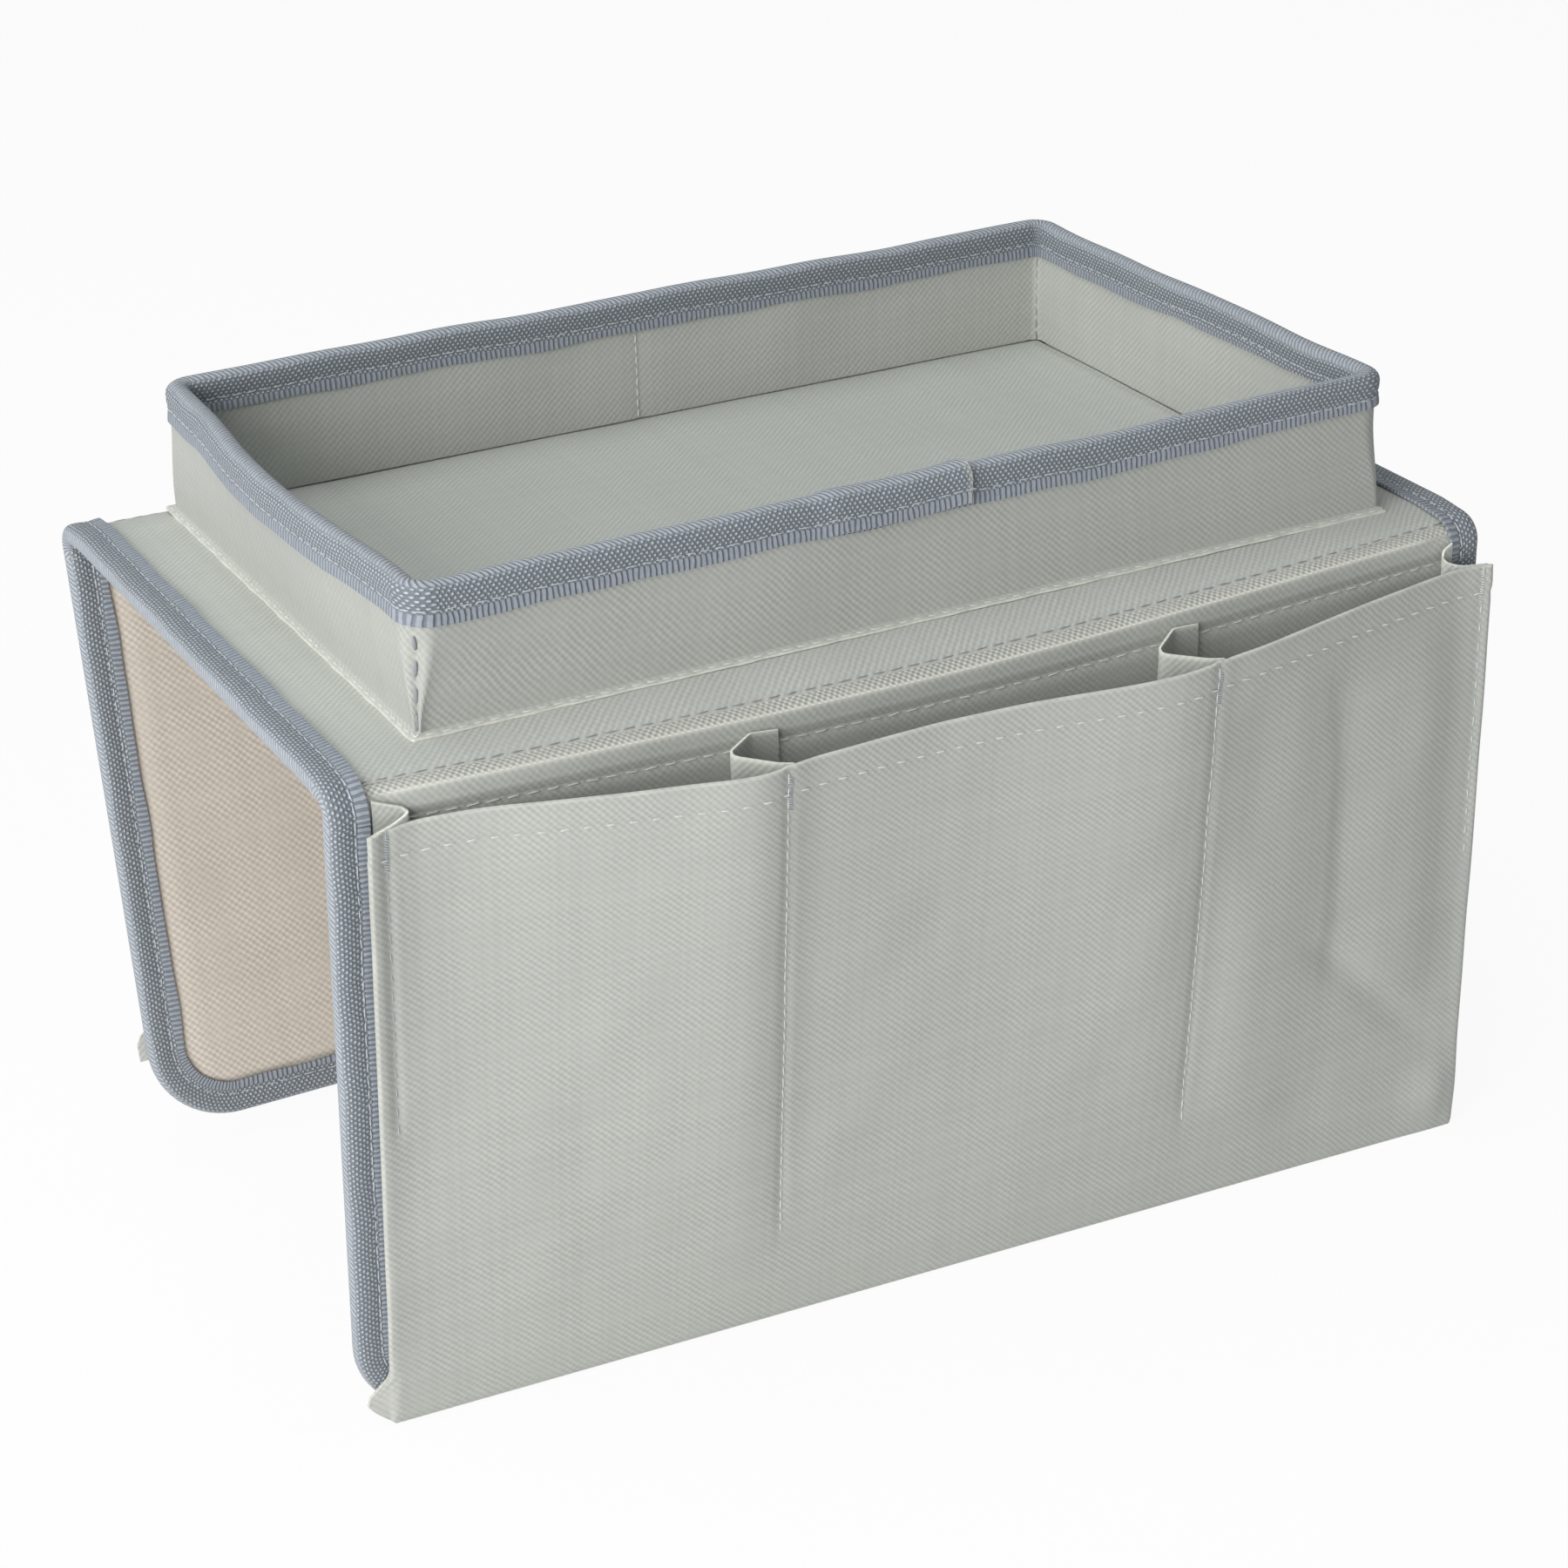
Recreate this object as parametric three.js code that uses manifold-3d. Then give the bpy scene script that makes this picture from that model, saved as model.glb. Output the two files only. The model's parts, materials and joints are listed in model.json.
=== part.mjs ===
// Armrest organizer: a boarded cloth saddle with two hanging flaps, a tray on top and three
// gusseted pockets on each flap. Millimetres, +Z up, +X along the armrest.
// The origin is the middle of the underside that rests on the armrest.
import * as THREE from 'three';
import { mergeVertices } from 'three/addons/utils/BufferGeometryUtils.js';
import Module from 'manifold-3d';

const wasm = await Module();
wasm.setup();

// Saddle
const SADDLE_LENGTH = 310;
const SADDLE_WIDTH = 186;
const STAND_HEIGHT = 176;
const FOLD_RADIUS = 6;
const FOLD_TAIL = 2;
const FRONT_LEAN_DEGREES = 1.65;
const REAR_LEAN_DEGREES = 9.5;
const HEM_CORNER_RADIUS = 22;
const REAR_HEM_LIFT = 4.5;

// Cloth, board and tape
const COVER_THICKNESS = 0.8;
const BOARD_THICKNESS = 1.8;
const LINING_THICKNESS = 0.6;
const TAPE_THICKNESS = 0.8;
const TAPE_LEG = 8.5;
const LAYER_GAP = 0.3;
const BOARD_INSET = 3;

// Tray, with the widths of saddle left free on its four sides
const TRAY_MARGIN_LEFT = 27.5;
const TRAY_MARGIN_RIGHT = 18.5;
const TRAY_MARGIN_FRONT = 17.2;
const TRAY_MARGIN_REAR = 8.8;
const TRAY_HEIGHT = 35;
const TRAY_CORNER_RADIUS = 7;
const TRAY_BOARD_THICKNESS = 1.6;
const TRAY_FLOOR_THICKNESS = 1.4;
const WELT_WIDTH = 3;
const WELT_HEIGHT = 1.4;
const SEAM_SLIT = 0.6;
const REAR_SEAM_X = 5;
const SPLICE_START_X = -22;
const SPLICE_END_X = 16;

// Pockets
const POCKET_CLOTH = 0.9;
const FRONT_POCKET_INSET_LEFT = 6;
const FRONT_POCKET_INSET_RIGHT = 0;
const REAR_POCKET_INSET = 2;
const REAR_POCKET_RISE = 20.5;
const POCKET_MOUTH_DROP = 11.3;
const POCKET_HEM = 6.5;
const POCKET_HEM_LIFT = 1.5;
const PANEL_BOW = 0.35;
const DIVIDER_ONE_X = -50;
const DIVIDER_TWO_X = 66;
const MOUTH_DEPTH_AT_ENDS = 4.2;
const MOUTH_DEPTH_FIRST = 2.4;
const MOUTH_DEPTH_DIVIDER_ONE = 15.2;
const MOUTH_DEPTH_SECOND = 12;
const MOUTH_DEPTH_DIVIDER_TWO = 17.3;
const MOUTH_DEPTH_THIRD = 3.4;
const MOUTH_STEPS = 4;
const GUSSET_CLOTH = 0.6;
const GUSSET_TIP = 13;
const GUSSET_END_TIP = 8;
const GUSSET_SEAT = 4;
const GUSSET_TIP_SHARE = 0.45;
const GUSSET_END_TIP_SHARE = 0.15;
const DIVIDER_SEAM_SHARE = 0.82;
const END_SEAM_SHARE = 0.49;

// Tray sizes that follow from the saddle and the margins
const TRAY_LENGTH = SADDLE_LENGTH - TRAY_MARGIN_LEFT - TRAY_MARGIN_RIGHT;
const TRAY_WIDTH = SADDLE_WIDTH - TRAY_MARGIN_FRONT - TRAY_MARGIN_REAR;
const TRAY_SHIFT_X = (TRAY_MARGIN_LEFT - TRAY_MARGIN_RIGHT) / 2;
const TRAY_SHIFT_Y = (TRAY_MARGIN_FRONT - TRAY_MARGIN_REAR) / 2;

// Layers of the saddle, counted up from the underside; the flaps use the same ones
const LINING_UNDER = 0;
const TAPE_UNDER_TOP = LINING_UNDER + TAPE_THICKNESS;
const LINING_EDGE = TAPE_UNDER_TOP + LAYER_GAP;
const LINING_TOP = LINING_EDGE + LINING_THICKNESS;
const BOARD_UNDER = LINING_TOP + LAYER_GAP;
const BOARD_TOP = BOARD_UNDER + BOARD_THICKNESS;
const COVER_UNDER = BOARD_TOP + LAYER_GAP;
const COVER_TOP = COVER_UNDER + COVER_THICKNESS;
const TAPE_OVER = COVER_TOP + LAYER_GAP;
const TAPE_TOP = TAPE_OVER + TAPE_THICKNESS;

// Hinge line of a fold, and the flap's layers measured outwards from it
const HINGE_Y = SADDLE_WIDTH / 2 - FOLD_RADIUS;
const HINGE_Z = COVER_TOP - FOLD_RADIUS;
const OUTWARD = FOLD_RADIUS - COVER_TOP;
const HALF_LENGTH = SADDLE_LENGTH / 2;
const PANEL_EDGE_Y = HINGE_Y - FOLD_TAIL;
const FLAP_START = FOLD_TAIL + LAYER_GAP;
const TAPE_REACH = LAYER_GAP + TAPE_THICKNESS;
const CURVE_STEPS = 8;

const SAGE = { color: 0x9aa69c, roughness: 0.82, metalness: 0 };
const TAPE = { color: 0x6d757c, roughness: 0.75, metalness: 0 };
const LINING = { color: 0xb5a899, roughness: 0.9, metalness: 0 };
const BOARD = { color: 0xb8b8b2, roughness: 0.7, metalness: 0 };

const object = new THREE.Group();
object.name = 'armrest_organizer';

function toSolid(geometry) {
  const bare = geometry.clone();
  bare.deleteAttribute('normal');
  bare.deleteAttribute('uv');
  const joined = mergeVertices(bare, 1e-5);
  return new wasm.Manifold(new wasm.Mesh({
    numProp: 3,
    vertProperties: new Float32Array(joined.attributes.position.array),
    triVerts: new Uint32Array(joined.index.array),
  }));
}

function toGeometry(solid) {
  const mesh = solid.getMesh();
  const geometry = new THREE.BufferGeometry();
  geometry.setAttribute('position', new THREE.BufferAttribute(new Float32Array(mesh.vertProperties), 3));
  geometry.setIndex(new THREE.BufferAttribute(new Uint32Array(mesh.triVerts), 1));
  geometry.computeVertexNormals();
  return geometry;
}

function addPiece(parent, name, solid, finish) {
  const material = new THREE.MeshStandardMaterial(finish);
  const mesh = new THREE.Mesh(toGeometry(solid), material);
  mesh.name = name;
  parent.add(mesh);
}

// A flat outline between two heights
function slab(shape, bottom, top) {
  const geometry = new THREE.ExtrudeGeometry(shape, {
    depth: top - bottom,
    bevelEnabled: false,
    curveSegments: CURVE_STEPS,
  });
  geometry.translate(0, 0, bottom);
  return toSolid(geometry);
}

function rectangle(left, right, low, high) {
  const shape = new THREE.Shape();
  shape.moveTo(left, low);
  shape.lineTo(right, low);
  shape.lineTo(right, high);
  shape.lineTo(left, high);
  shape.closePath();
  return shape;
}

function roundedRectangle(halfX, halfY, radius) {
  const shape = new THREE.Shape();
  shape.moveTo(-halfX + radius, -halfY);
  shape.lineTo(halfX - radius, -halfY);
  shape.absarc(halfX - radius, -halfY + radius, radius, -Math.PI / 2, 0, false);
  shape.lineTo(halfX, halfY - radius);
  shape.absarc(halfX - radius, halfY - radius, radius, 0, Math.PI / 2, false);
  shape.lineTo(-halfX + radius, halfY);
  shape.absarc(-halfX + radius, halfY - radius, radius, Math.PI / 2, Math.PI, false);
  shape.lineTo(-halfX, -halfY + radius);
  shape.absarc(-halfX + radius, -halfY + radius, radius, Math.PI, Math.PI * 1.5, false);
  shape.closePath();
  return shape;
}

// Saddle top

function buildTop() {
  const reach = HALF_LENGTH;
  const edge = PANEL_EDGE_Y;
  const cover = slab(rectangle(-reach, reach, -edge, edge), COVER_UNDER, COVER_TOP);
  addPiece(object, 'top_cover', cover, SAGE);

  const boardX = reach - BOARD_INSET;
  const boardY = edge - BOARD_INSET;
  const board = slab(rectangle(-boardX, boardX, -boardY, boardY), BOARD_UNDER, BOARD_TOP);
  addPiece(object, 'top_board', board, BOARD);

  const fieldX = reach - TAPE_LEG - LAYER_GAP;
  const field = slab(rectangle(-fieldX, fieldX, -edge, edge), LINING_UNDER, LINING_TOP);
  const sheet = slab(rectangle(-reach, reach, -edge, edge), LINING_EDGE, LINING_TOP);
  addPiece(object, 'top_lining', field.add(sheet), LINING);

  const inner = reach - TAPE_LEG;
  const outer = reach + TAPE_REACH;
  const slotEnd = reach + LAYER_GAP;
  const block = slab(rectangle(inner, outer, -edge, edge), LINING_UNDER, TAPE_TOP);
  const slot = slab(
    rectangle(inner - TAPE_LEG, slotEnd, -edge - TAPE_LEG, edge + TAPE_LEG),
    TAPE_UNDER_TOP,
    TAPE_OVER,
  );
  const right = block.subtract(slot);
  addPiece(object, 'top_binding_right', right, TAPE);
  addPiece(object, 'top_binding_left', right.rotate([0, 0, 180]), TAPE);
}

// Folds: bands of cloth bent about the hinge line, with a short straight tail at both stitch lines

function foldBand(innerRadius, outerRadius, sweep, tailLength) {
  const end = Math.PI / 2 - sweep;
  const tail = new THREE.Vector2(Math.sin(end), -Math.cos(end)).multiplyScalar(tailLength);
  const outerEnd = new THREE.Vector2(Math.cos(end), Math.sin(end)).multiplyScalar(outerRadius);
  const innerEnd = new THREE.Vector2(Math.cos(end), Math.sin(end)).multiplyScalar(innerRadius);
  const start = LAYER_GAP - tailLength;
  const shape = new THREE.Shape();
  shape.moveTo(start, outerRadius);
  shape.lineTo(0, outerRadius);
  shape.absarc(0, 0, outerRadius, Math.PI / 2, end, true);
  shape.lineTo(outerEnd.x + tail.x, outerEnd.y + tail.y);
  shape.lineTo(innerEnd.x + tail.x, innerEnd.y + tail.y);
  shape.lineTo(innerEnd.x, innerEnd.y);
  shape.absarc(0, 0, innerRadius, end, Math.PI / 2, false);
  shape.lineTo(start, innerRadius);
  shape.closePath();
  return shape;
}

function bandAlongX(innerRadius, outerRadius, sweep, tailLength, left, right) {
  const geometry = new THREE.ExtrudeGeometry(foldBand(innerRadius, outerRadius, sweep, tailLength), {
    depth: right - left,
    bevelEnabled: false,
    curveSegments: CURVE_STEPS,
  });
  const outwards = new THREE.Vector3(0, -1, 0);
  const upwards = new THREE.Vector3(0, 0, 1);
  const alongX = new THREE.Vector3(-1, 0, 0);
  geometry.applyMatrix4(new THREE.Matrix4().makeBasis(outwards, upwards, alongX));
  geometry.translate(right, 0, 0);
  return toSolid(geometry);
}

function buildFold(side, prefix, lean) {
  const sweep = Math.PI / 2 + THREE.MathUtils.degToRad(lean);
  const coverOuter = FOLD_RADIUS;
  const coverInner = coverOuter - COVER_THICKNESS;
  const liningOuter = coverInner - LAYER_GAP;
  const liningInner = liningOuter - LINING_THICKNESS;
  const tapeSlotOuter = coverOuter + LAYER_GAP;
  const tapeSlotInner = liningInner - LAYER_GAP;
  const fold = new THREE.Group();
  fold.position.set(0, -HINGE_Y, HINGE_Z);
  side.add(fold);

  const cover = bandAlongX(coverInner, coverOuter, sweep, FOLD_TAIL, -HALF_LENGTH, HALF_LENGTH);
  addPiece(fold, `${prefix}_fold_cover`, cover, SAGE);
  const lining = bandAlongX(liningInner, liningOuter, sweep, FOLD_TAIL, -HALF_LENGTH, HALF_LENGTH);
  addPiece(fold, `${prefix}_fold_lining`, lining, LINING);

  const inner = HALF_LENGTH - TAPE_LEG;
  const outer = HALF_LENGTH + TAPE_REACH;
  const block = bandAlongX(
    tapeSlotInner - TAPE_THICKNESS,
    tapeSlotOuter + TAPE_THICKNESS,
    sweep,
    FOLD_TAIL,
    inner,
    outer,
  );
  const slot = bandAlongX(
    tapeSlotInner,
    tapeSlotOuter,
    sweep,
    FOLD_TAIL * 2,
    inner - TAPE_LEG,
    HALF_LENGTH + LAYER_GAP,
  );
  const right = block.subtract(slot);
  addPiece(fold, `${prefix}_fold_tape_right`, right, TAPE);
  addPiece(fold, `${prefix}_fold_tape_left`, right.mirror([1, 0, 0]), TAPE);
}

// Flaps: local X along the saddle, local Y up the flap to the hinge line, local Z outwards

function flapOutline(grow, start, length) {
  const half = HALF_LENGTH + grow;
  const low = -length - grow;
  const radius = HEM_CORNER_RADIUS + grow;
  const shape = new THREE.Shape();
  shape.moveTo(-half, -start);
  shape.lineTo(-half, low + radius);
  shape.absarc(-half + radius, low + radius, radius, Math.PI, Math.PI * 1.5, false);
  shape.lineTo(half - radius, low);
  shape.absarc(half - radius, low + radius, radius, Math.PI * 1.5, Math.PI * 2, false);
  shape.lineTo(half, -start);
  shape.closePath();
  return shape;
}

// Length of the flap's cloth from the hinge line, so that its taped hem stands at its lift above the floor
function flapLength(lean, lift) {
  const angle = THREE.MathUtils.degToRad(lean);
  const drop = STAND_HEIGHT - FOLD_RADIUS - lift;
  const taped = (drop - (OUTWARD + TAPE_TOP) * Math.sin(angle)) / Math.cos(angle);
  return taped - TAPE_REACH;
}

function buildFlap(side, prefix, lean, lift) {
  const flap = new THREE.Group();
  flap.position.set(0, -HINGE_Y, HINGE_Z);
  flap.rotation.x = Math.PI / 2 + THREE.MathUtils.degToRad(lean);
  side.add(flap);
  const length = flapLength(lean, lift);
  const at = (layer) => layer + OUTWARD;

  const cover = slab(flapOutline(0, FLAP_START, length), at(COVER_UNDER), at(COVER_TOP));
  addPiece(flap, `${prefix}_cover`, cover, SAGE);

  const boardStart = FLAP_START + BOARD_INSET;
  const board = slab(flapOutline(-BOARD_INSET, boardStart, length), at(BOARD_UNDER), at(BOARD_TOP));
  addPiece(flap, `${prefix}_board`, board, BOARD);

  const fieldShape = flapOutline(-TAPE_LEG - LAYER_GAP, FLAP_START, length);
  const field = slab(fieldShape, at(LINING_UNDER), at(LINING_TOP));
  const sheet = slab(flapOutline(0, FLAP_START, length), at(LINING_EDGE), at(LINING_TOP));
  addPiece(flap, `${prefix}_lining`, field.add(sheet), LINING);

  const block = slab(flapOutline(TAPE_REACH, FLAP_START, length), at(LINING_UNDER), at(TAPE_TOP));
  const window = slab(flapOutline(-TAPE_LEG, -FLAP_START, length), at(-TAPE_TOP), at(TAPE_TOP * 2));
  const slot = slab(flapOutline(LAYER_GAP, -FLAP_START, length), at(TAPE_UNDER_TOP), at(TAPE_OVER));
  addPiece(flap, `${prefix}_binding`, block.subtract(window).subtract(slot), TAPE);

  const hemAt = length + TAPE_REACH - POCKET_HEM_LIFT;
  if (prefix === 'front') {
    const left = -HALF_LENGTH + FRONT_POCKET_INSET_LEFT;
    buildPockets(flap, prefix, hemAt, left, HALF_LENGTH - FRONT_POCKET_INSET_RIGHT);
  } else {
    const end = HALF_LENGTH - REAR_POCKET_INSET;
    buildPockets(flap, prefix, hemAt - REAR_POCKET_RISE, -end, end);
  }
}

// Pockets

// How far the pocket mouth stands off the flap: a smooth line of points, distance along the flap and depth
function mouthPoints(left, right) {
  const between = (from, to, share) => from + (to - from) * share;
  const knots = [
    [left, MOUTH_DEPTH_AT_ENDS],
    [between(left, DIVIDER_ONE_X, 0.15), MOUTH_DEPTH_FIRST],
    [DIVIDER_ONE_X, MOUTH_DEPTH_DIVIDER_ONE],
    [between(DIVIDER_ONE_X, DIVIDER_TWO_X, 0.12), MOUTH_DEPTH_SECOND],
    [between(DIVIDER_ONE_X, DIVIDER_TWO_X, 0.5), MOUTH_DEPTH_SECOND],
    [DIVIDER_TWO_X, MOUTH_DEPTH_DIVIDER_TWO],
    [between(DIVIDER_TWO_X, right, 0.92), MOUTH_DEPTH_THIRD],
    [right, MOUTH_DEPTH_AT_ENDS],
  ];
  const places = knots.map(([x, depth]) => new THREE.Vector3(x, depth, 0));
  const curve = new THREE.CatmullRomCurve3(places, false, 'centripetal');
  const steps = (knots.length - 1) * MOUTH_STEPS;
  return curve.getPoints(steps).map((point) => [point.x, point.y]);
}

function mouthDepth(points, x) {
  const last = points.length - 2;
  const next = points.findIndex((point) => point[0] > x);
  const index = next < 0 ? last : Math.min(Math.max(next - 1, 0), last);
  const [x0, depth0] = points[index];
  const [x1, depth1] = points[index + 1];
  return THREE.MathUtils.mapLinear(x, x0, x1, depth0, depth1);
}

// A closed sheet between an inner and an outer surface over a grid
function sheetSolid(columns, rows, innerAt, outerAt) {
  const positions = [];
  const triangles = [];
  const count = columns.length * rows.length;
  for (const surface of [innerAt, outerAt]) {
    for (const y of rows) {
      for (const x of columns) {
        positions.push(x, y, surface(x, y));
      }
    }
  }
  const index = (layer, row, column) => layer * count + row * columns.length + column;
  const quad = (a, b, c, d) => triangles.push(a, c, b, a, d, c);
  const lastRow = rows.length - 1;
  const lastColumn = columns.length - 1;
  for (let row = 0; row < lastRow; row += 1) {
    for (let column = 0; column < lastColumn; column += 1) {
      const corners = (layer) => [
        index(layer, row, column),
        index(layer, row, column + 1),
        index(layer, row + 1, column + 1),
        index(layer, row + 1, column),
      ];
      const [a, b, c, d] = corners(0);
      quad(a, b, c, d);
      const [e, f, g, h] = corners(1);
      quad(e, h, g, f);
    }
    quad(index(0, row, 0), index(0, row + 1, 0), index(1, row + 1, 0), index(1, row, 0));
    quad(
      index(0, row + 1, lastColumn),
      index(0, row, lastColumn),
      index(1, row, lastColumn),
      index(1, row + 1, lastColumn),
    );
  }
  for (let column = 0; column < lastColumn; column += 1) {
    quad(index(0, 0, column + 1), index(0, 0, column), index(1, 0, column), index(1, 0, column + 1));
    quad(
      index(0, lastRow, column),
      index(0, lastRow, column + 1),
      index(1, lastRow, column + 1),
      index(1, lastRow, column),
    );
  }
  const geometry = new THREE.BufferGeometry();
  geometry.setAttribute('position', new THREE.Float32BufferAttribute(positions, 3));
  geometry.setIndex(triangles);
  return toSolid(geometry);
}

function spread(from, to, steps) {
  return Array.from({ length: steps + 1 }, (unused, step) => from + ((to - from) * step) / steps);
}

// A pleat of cloth: sections with a blunt tip from the mouth down to the end of its seam
function gussetSolid(sections) {
  const positions = [];
  const triangles = [];
  const points = sections[0].outline.length;
  const lastSection = (sections.length - 1) * points;
  for (const { y, outline } of sections) {
    for (const point of outline) {
      positions.push(point.x, y, point.y);
    }
  }
  for (let start = 0; start < lastSection; start += points) {
    for (let point = 0; point < points; point += 1) {
      const here = start + point;
      const next = start + ((point + 1) % points);
      triangles.push(here, next, next + points);
      triangles.push(here, next + points, here + points);
    }
  }
  for (const [a, b, c] of THREE.ShapeUtils.triangulateShape(sections[0].outline, [])) {
    triangles.push(a, c, b);
  }
  for (const [a, b, c] of THREE.ShapeUtils.triangulateShape(sections.at(-1).outline, [])) {
    triangles.push(lastSection + a, lastSection + b, lastSection + c);
  }
  const geometry = new THREE.BufferGeometry();
  geometry.setAttribute('position', new THREE.Float32BufferAttribute(positions, 3));
  geometry.setIndex(triangles);
  return toSolid(geometry);
}

// Outline of a bent strip of cloth along its corners
function stripOutline(corners, thickness) {
  const path = corners.map(([x, z]) => new THREE.Vector2(x, z));
  const directions = path.slice(1).map((point, step) => point.clone().sub(path[step]).normalize());
  const normals = directions.map((direction) => new THREE.Vector2(-direction.y, direction.x));
  const bends = normals.slice(1).map((normal, step) => {
    const before = normals[step];
    return before.clone().add(normal).multiplyScalar(1 / (1 + before.dot(normal)));
  });
  const offsets = [normals[0], ...bends, normals.at(-1)];
  const sideOf = (sign) => path.map((point, step) => (
    point.clone().addScaledVector(offsets[step], (sign * thickness) / 2)
  ));
  const outline = [...sideOf(1), ...sideOf(-1).reverse()];
  return THREE.ShapeUtils.isClockWise(outline) ? outline.reverse() : outline;
}

function buildPockets(flap, prefix, hemAt, left, right) {
  const flapFace = COVER_TOP + OUTWARD;
  const seat = TAPE_TOP + OUTWARD + LAYER_GAP;
  const mouthAt = POCKET_MOUTH_DROP - FOLD_RADIUS;
  const depth = hemAt - mouthAt;
  const mouth = mouthPoints(left, right);
  const innerAt = (x, y) => {
    const share = (hemAt + y) / depth;
    return seat + mouthDepth(mouth, x) * share * (1 + PANEL_BOW * (1 - share));
  };
  const hemEnd = mouthAt + POCKET_HEM;
  const turned = (x, y) => innerAt(x, y) - (-y < hemEnd ? POCKET_CLOTH : 0);
  const columns = mouth.map((point) => point[0]);
  const rows = [...spread(-hemAt, -hemEnd - LAYER_GAP, 5), -hemEnd + LAYER_GAP, -mouthAt];
  const panel = sheetSolid(columns, rows, turned, (x, y) => innerAt(x, y) + POCKET_CLOTH);
  addPiece(flap, `${prefix}_pocket_panel`, panel, SAGE);

  const tipGap = GUSSET_CLOTH + LAYER_GAP;
  const pleat = (name, x, seatX, tipRoot, fold, tipShare, seamShare) => {
    const sectionAt = (distance) => {
      const y = -mouthAt - distance;
      const share = 1 - distance / depth;
      const low = flapFace + LAYER_GAP + GUSSET_CLOTH;
      const high = innerAt(x, y) - POCKET_CLOTH - LAYER_GAP - GUSSET_CLOTH;
      const tipX = tipRoot + fold * share;
      const tipLow = low + (high - low - tipGap) * tipShare;
      const corners = [[x, high], [tipX, tipLow + tipGap], [tipX, tipLow], [seatX, low]];
      return { y, outline: stripOutline(corners, GUSSET_CLOTH) };
    };
    const sections = spread(LAYER_GAP, depth * seamShare, 4).map(sectionAt);
    addPiece(flap, name, gussetSolid(sections), SAGE);
  };
  const endSeam = POCKET_CLOTH + LAYER_GAP;
  const tapeClear = HALF_LENGTH - TAPE_LEG - LAYER_GAP - GUSSET_CLOTH;
  for (const [name, x] of [['one', DIVIDER_ONE_X], ['two', DIVIDER_TWO_X]]) {
    const seatX = x + GUSSET_SEAT;
    pleat(`${prefix}_gusset_${name}`, x, seatX, x, -GUSSET_TIP, GUSSET_TIP_SHARE, DIVIDER_SEAM_SHARE);
  }
  for (const [name, x, seatX, fold] of [
    ['left', left + endSeam, -tapeClear, GUSSET_END_TIP],
    ['right', right - endSeam, tapeClear, -GUSSET_END_TIP],
  ]) {
    pleat(`${prefix}_gusset_${name}`, x, seatX, seatX, fold, GUSSET_END_TIP_SHARE, END_SEAM_SHARE);
  }
}

// Tray: two bands of cloth with a board in each wall, a floor panel and tape over the rim

function trayRing(outerOffset, innerOffset) {
  const at = (offset) => roundedRectangle(
    TRAY_LENGTH / 2 + offset,
    TRAY_WIDTH / 2 + offset,
    TRAY_CORNER_RADIUS + offset,
  );
  const shape = at(outerOffset);
  shape.holes.push(at(innerOffset));
  return shape;
}

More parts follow.
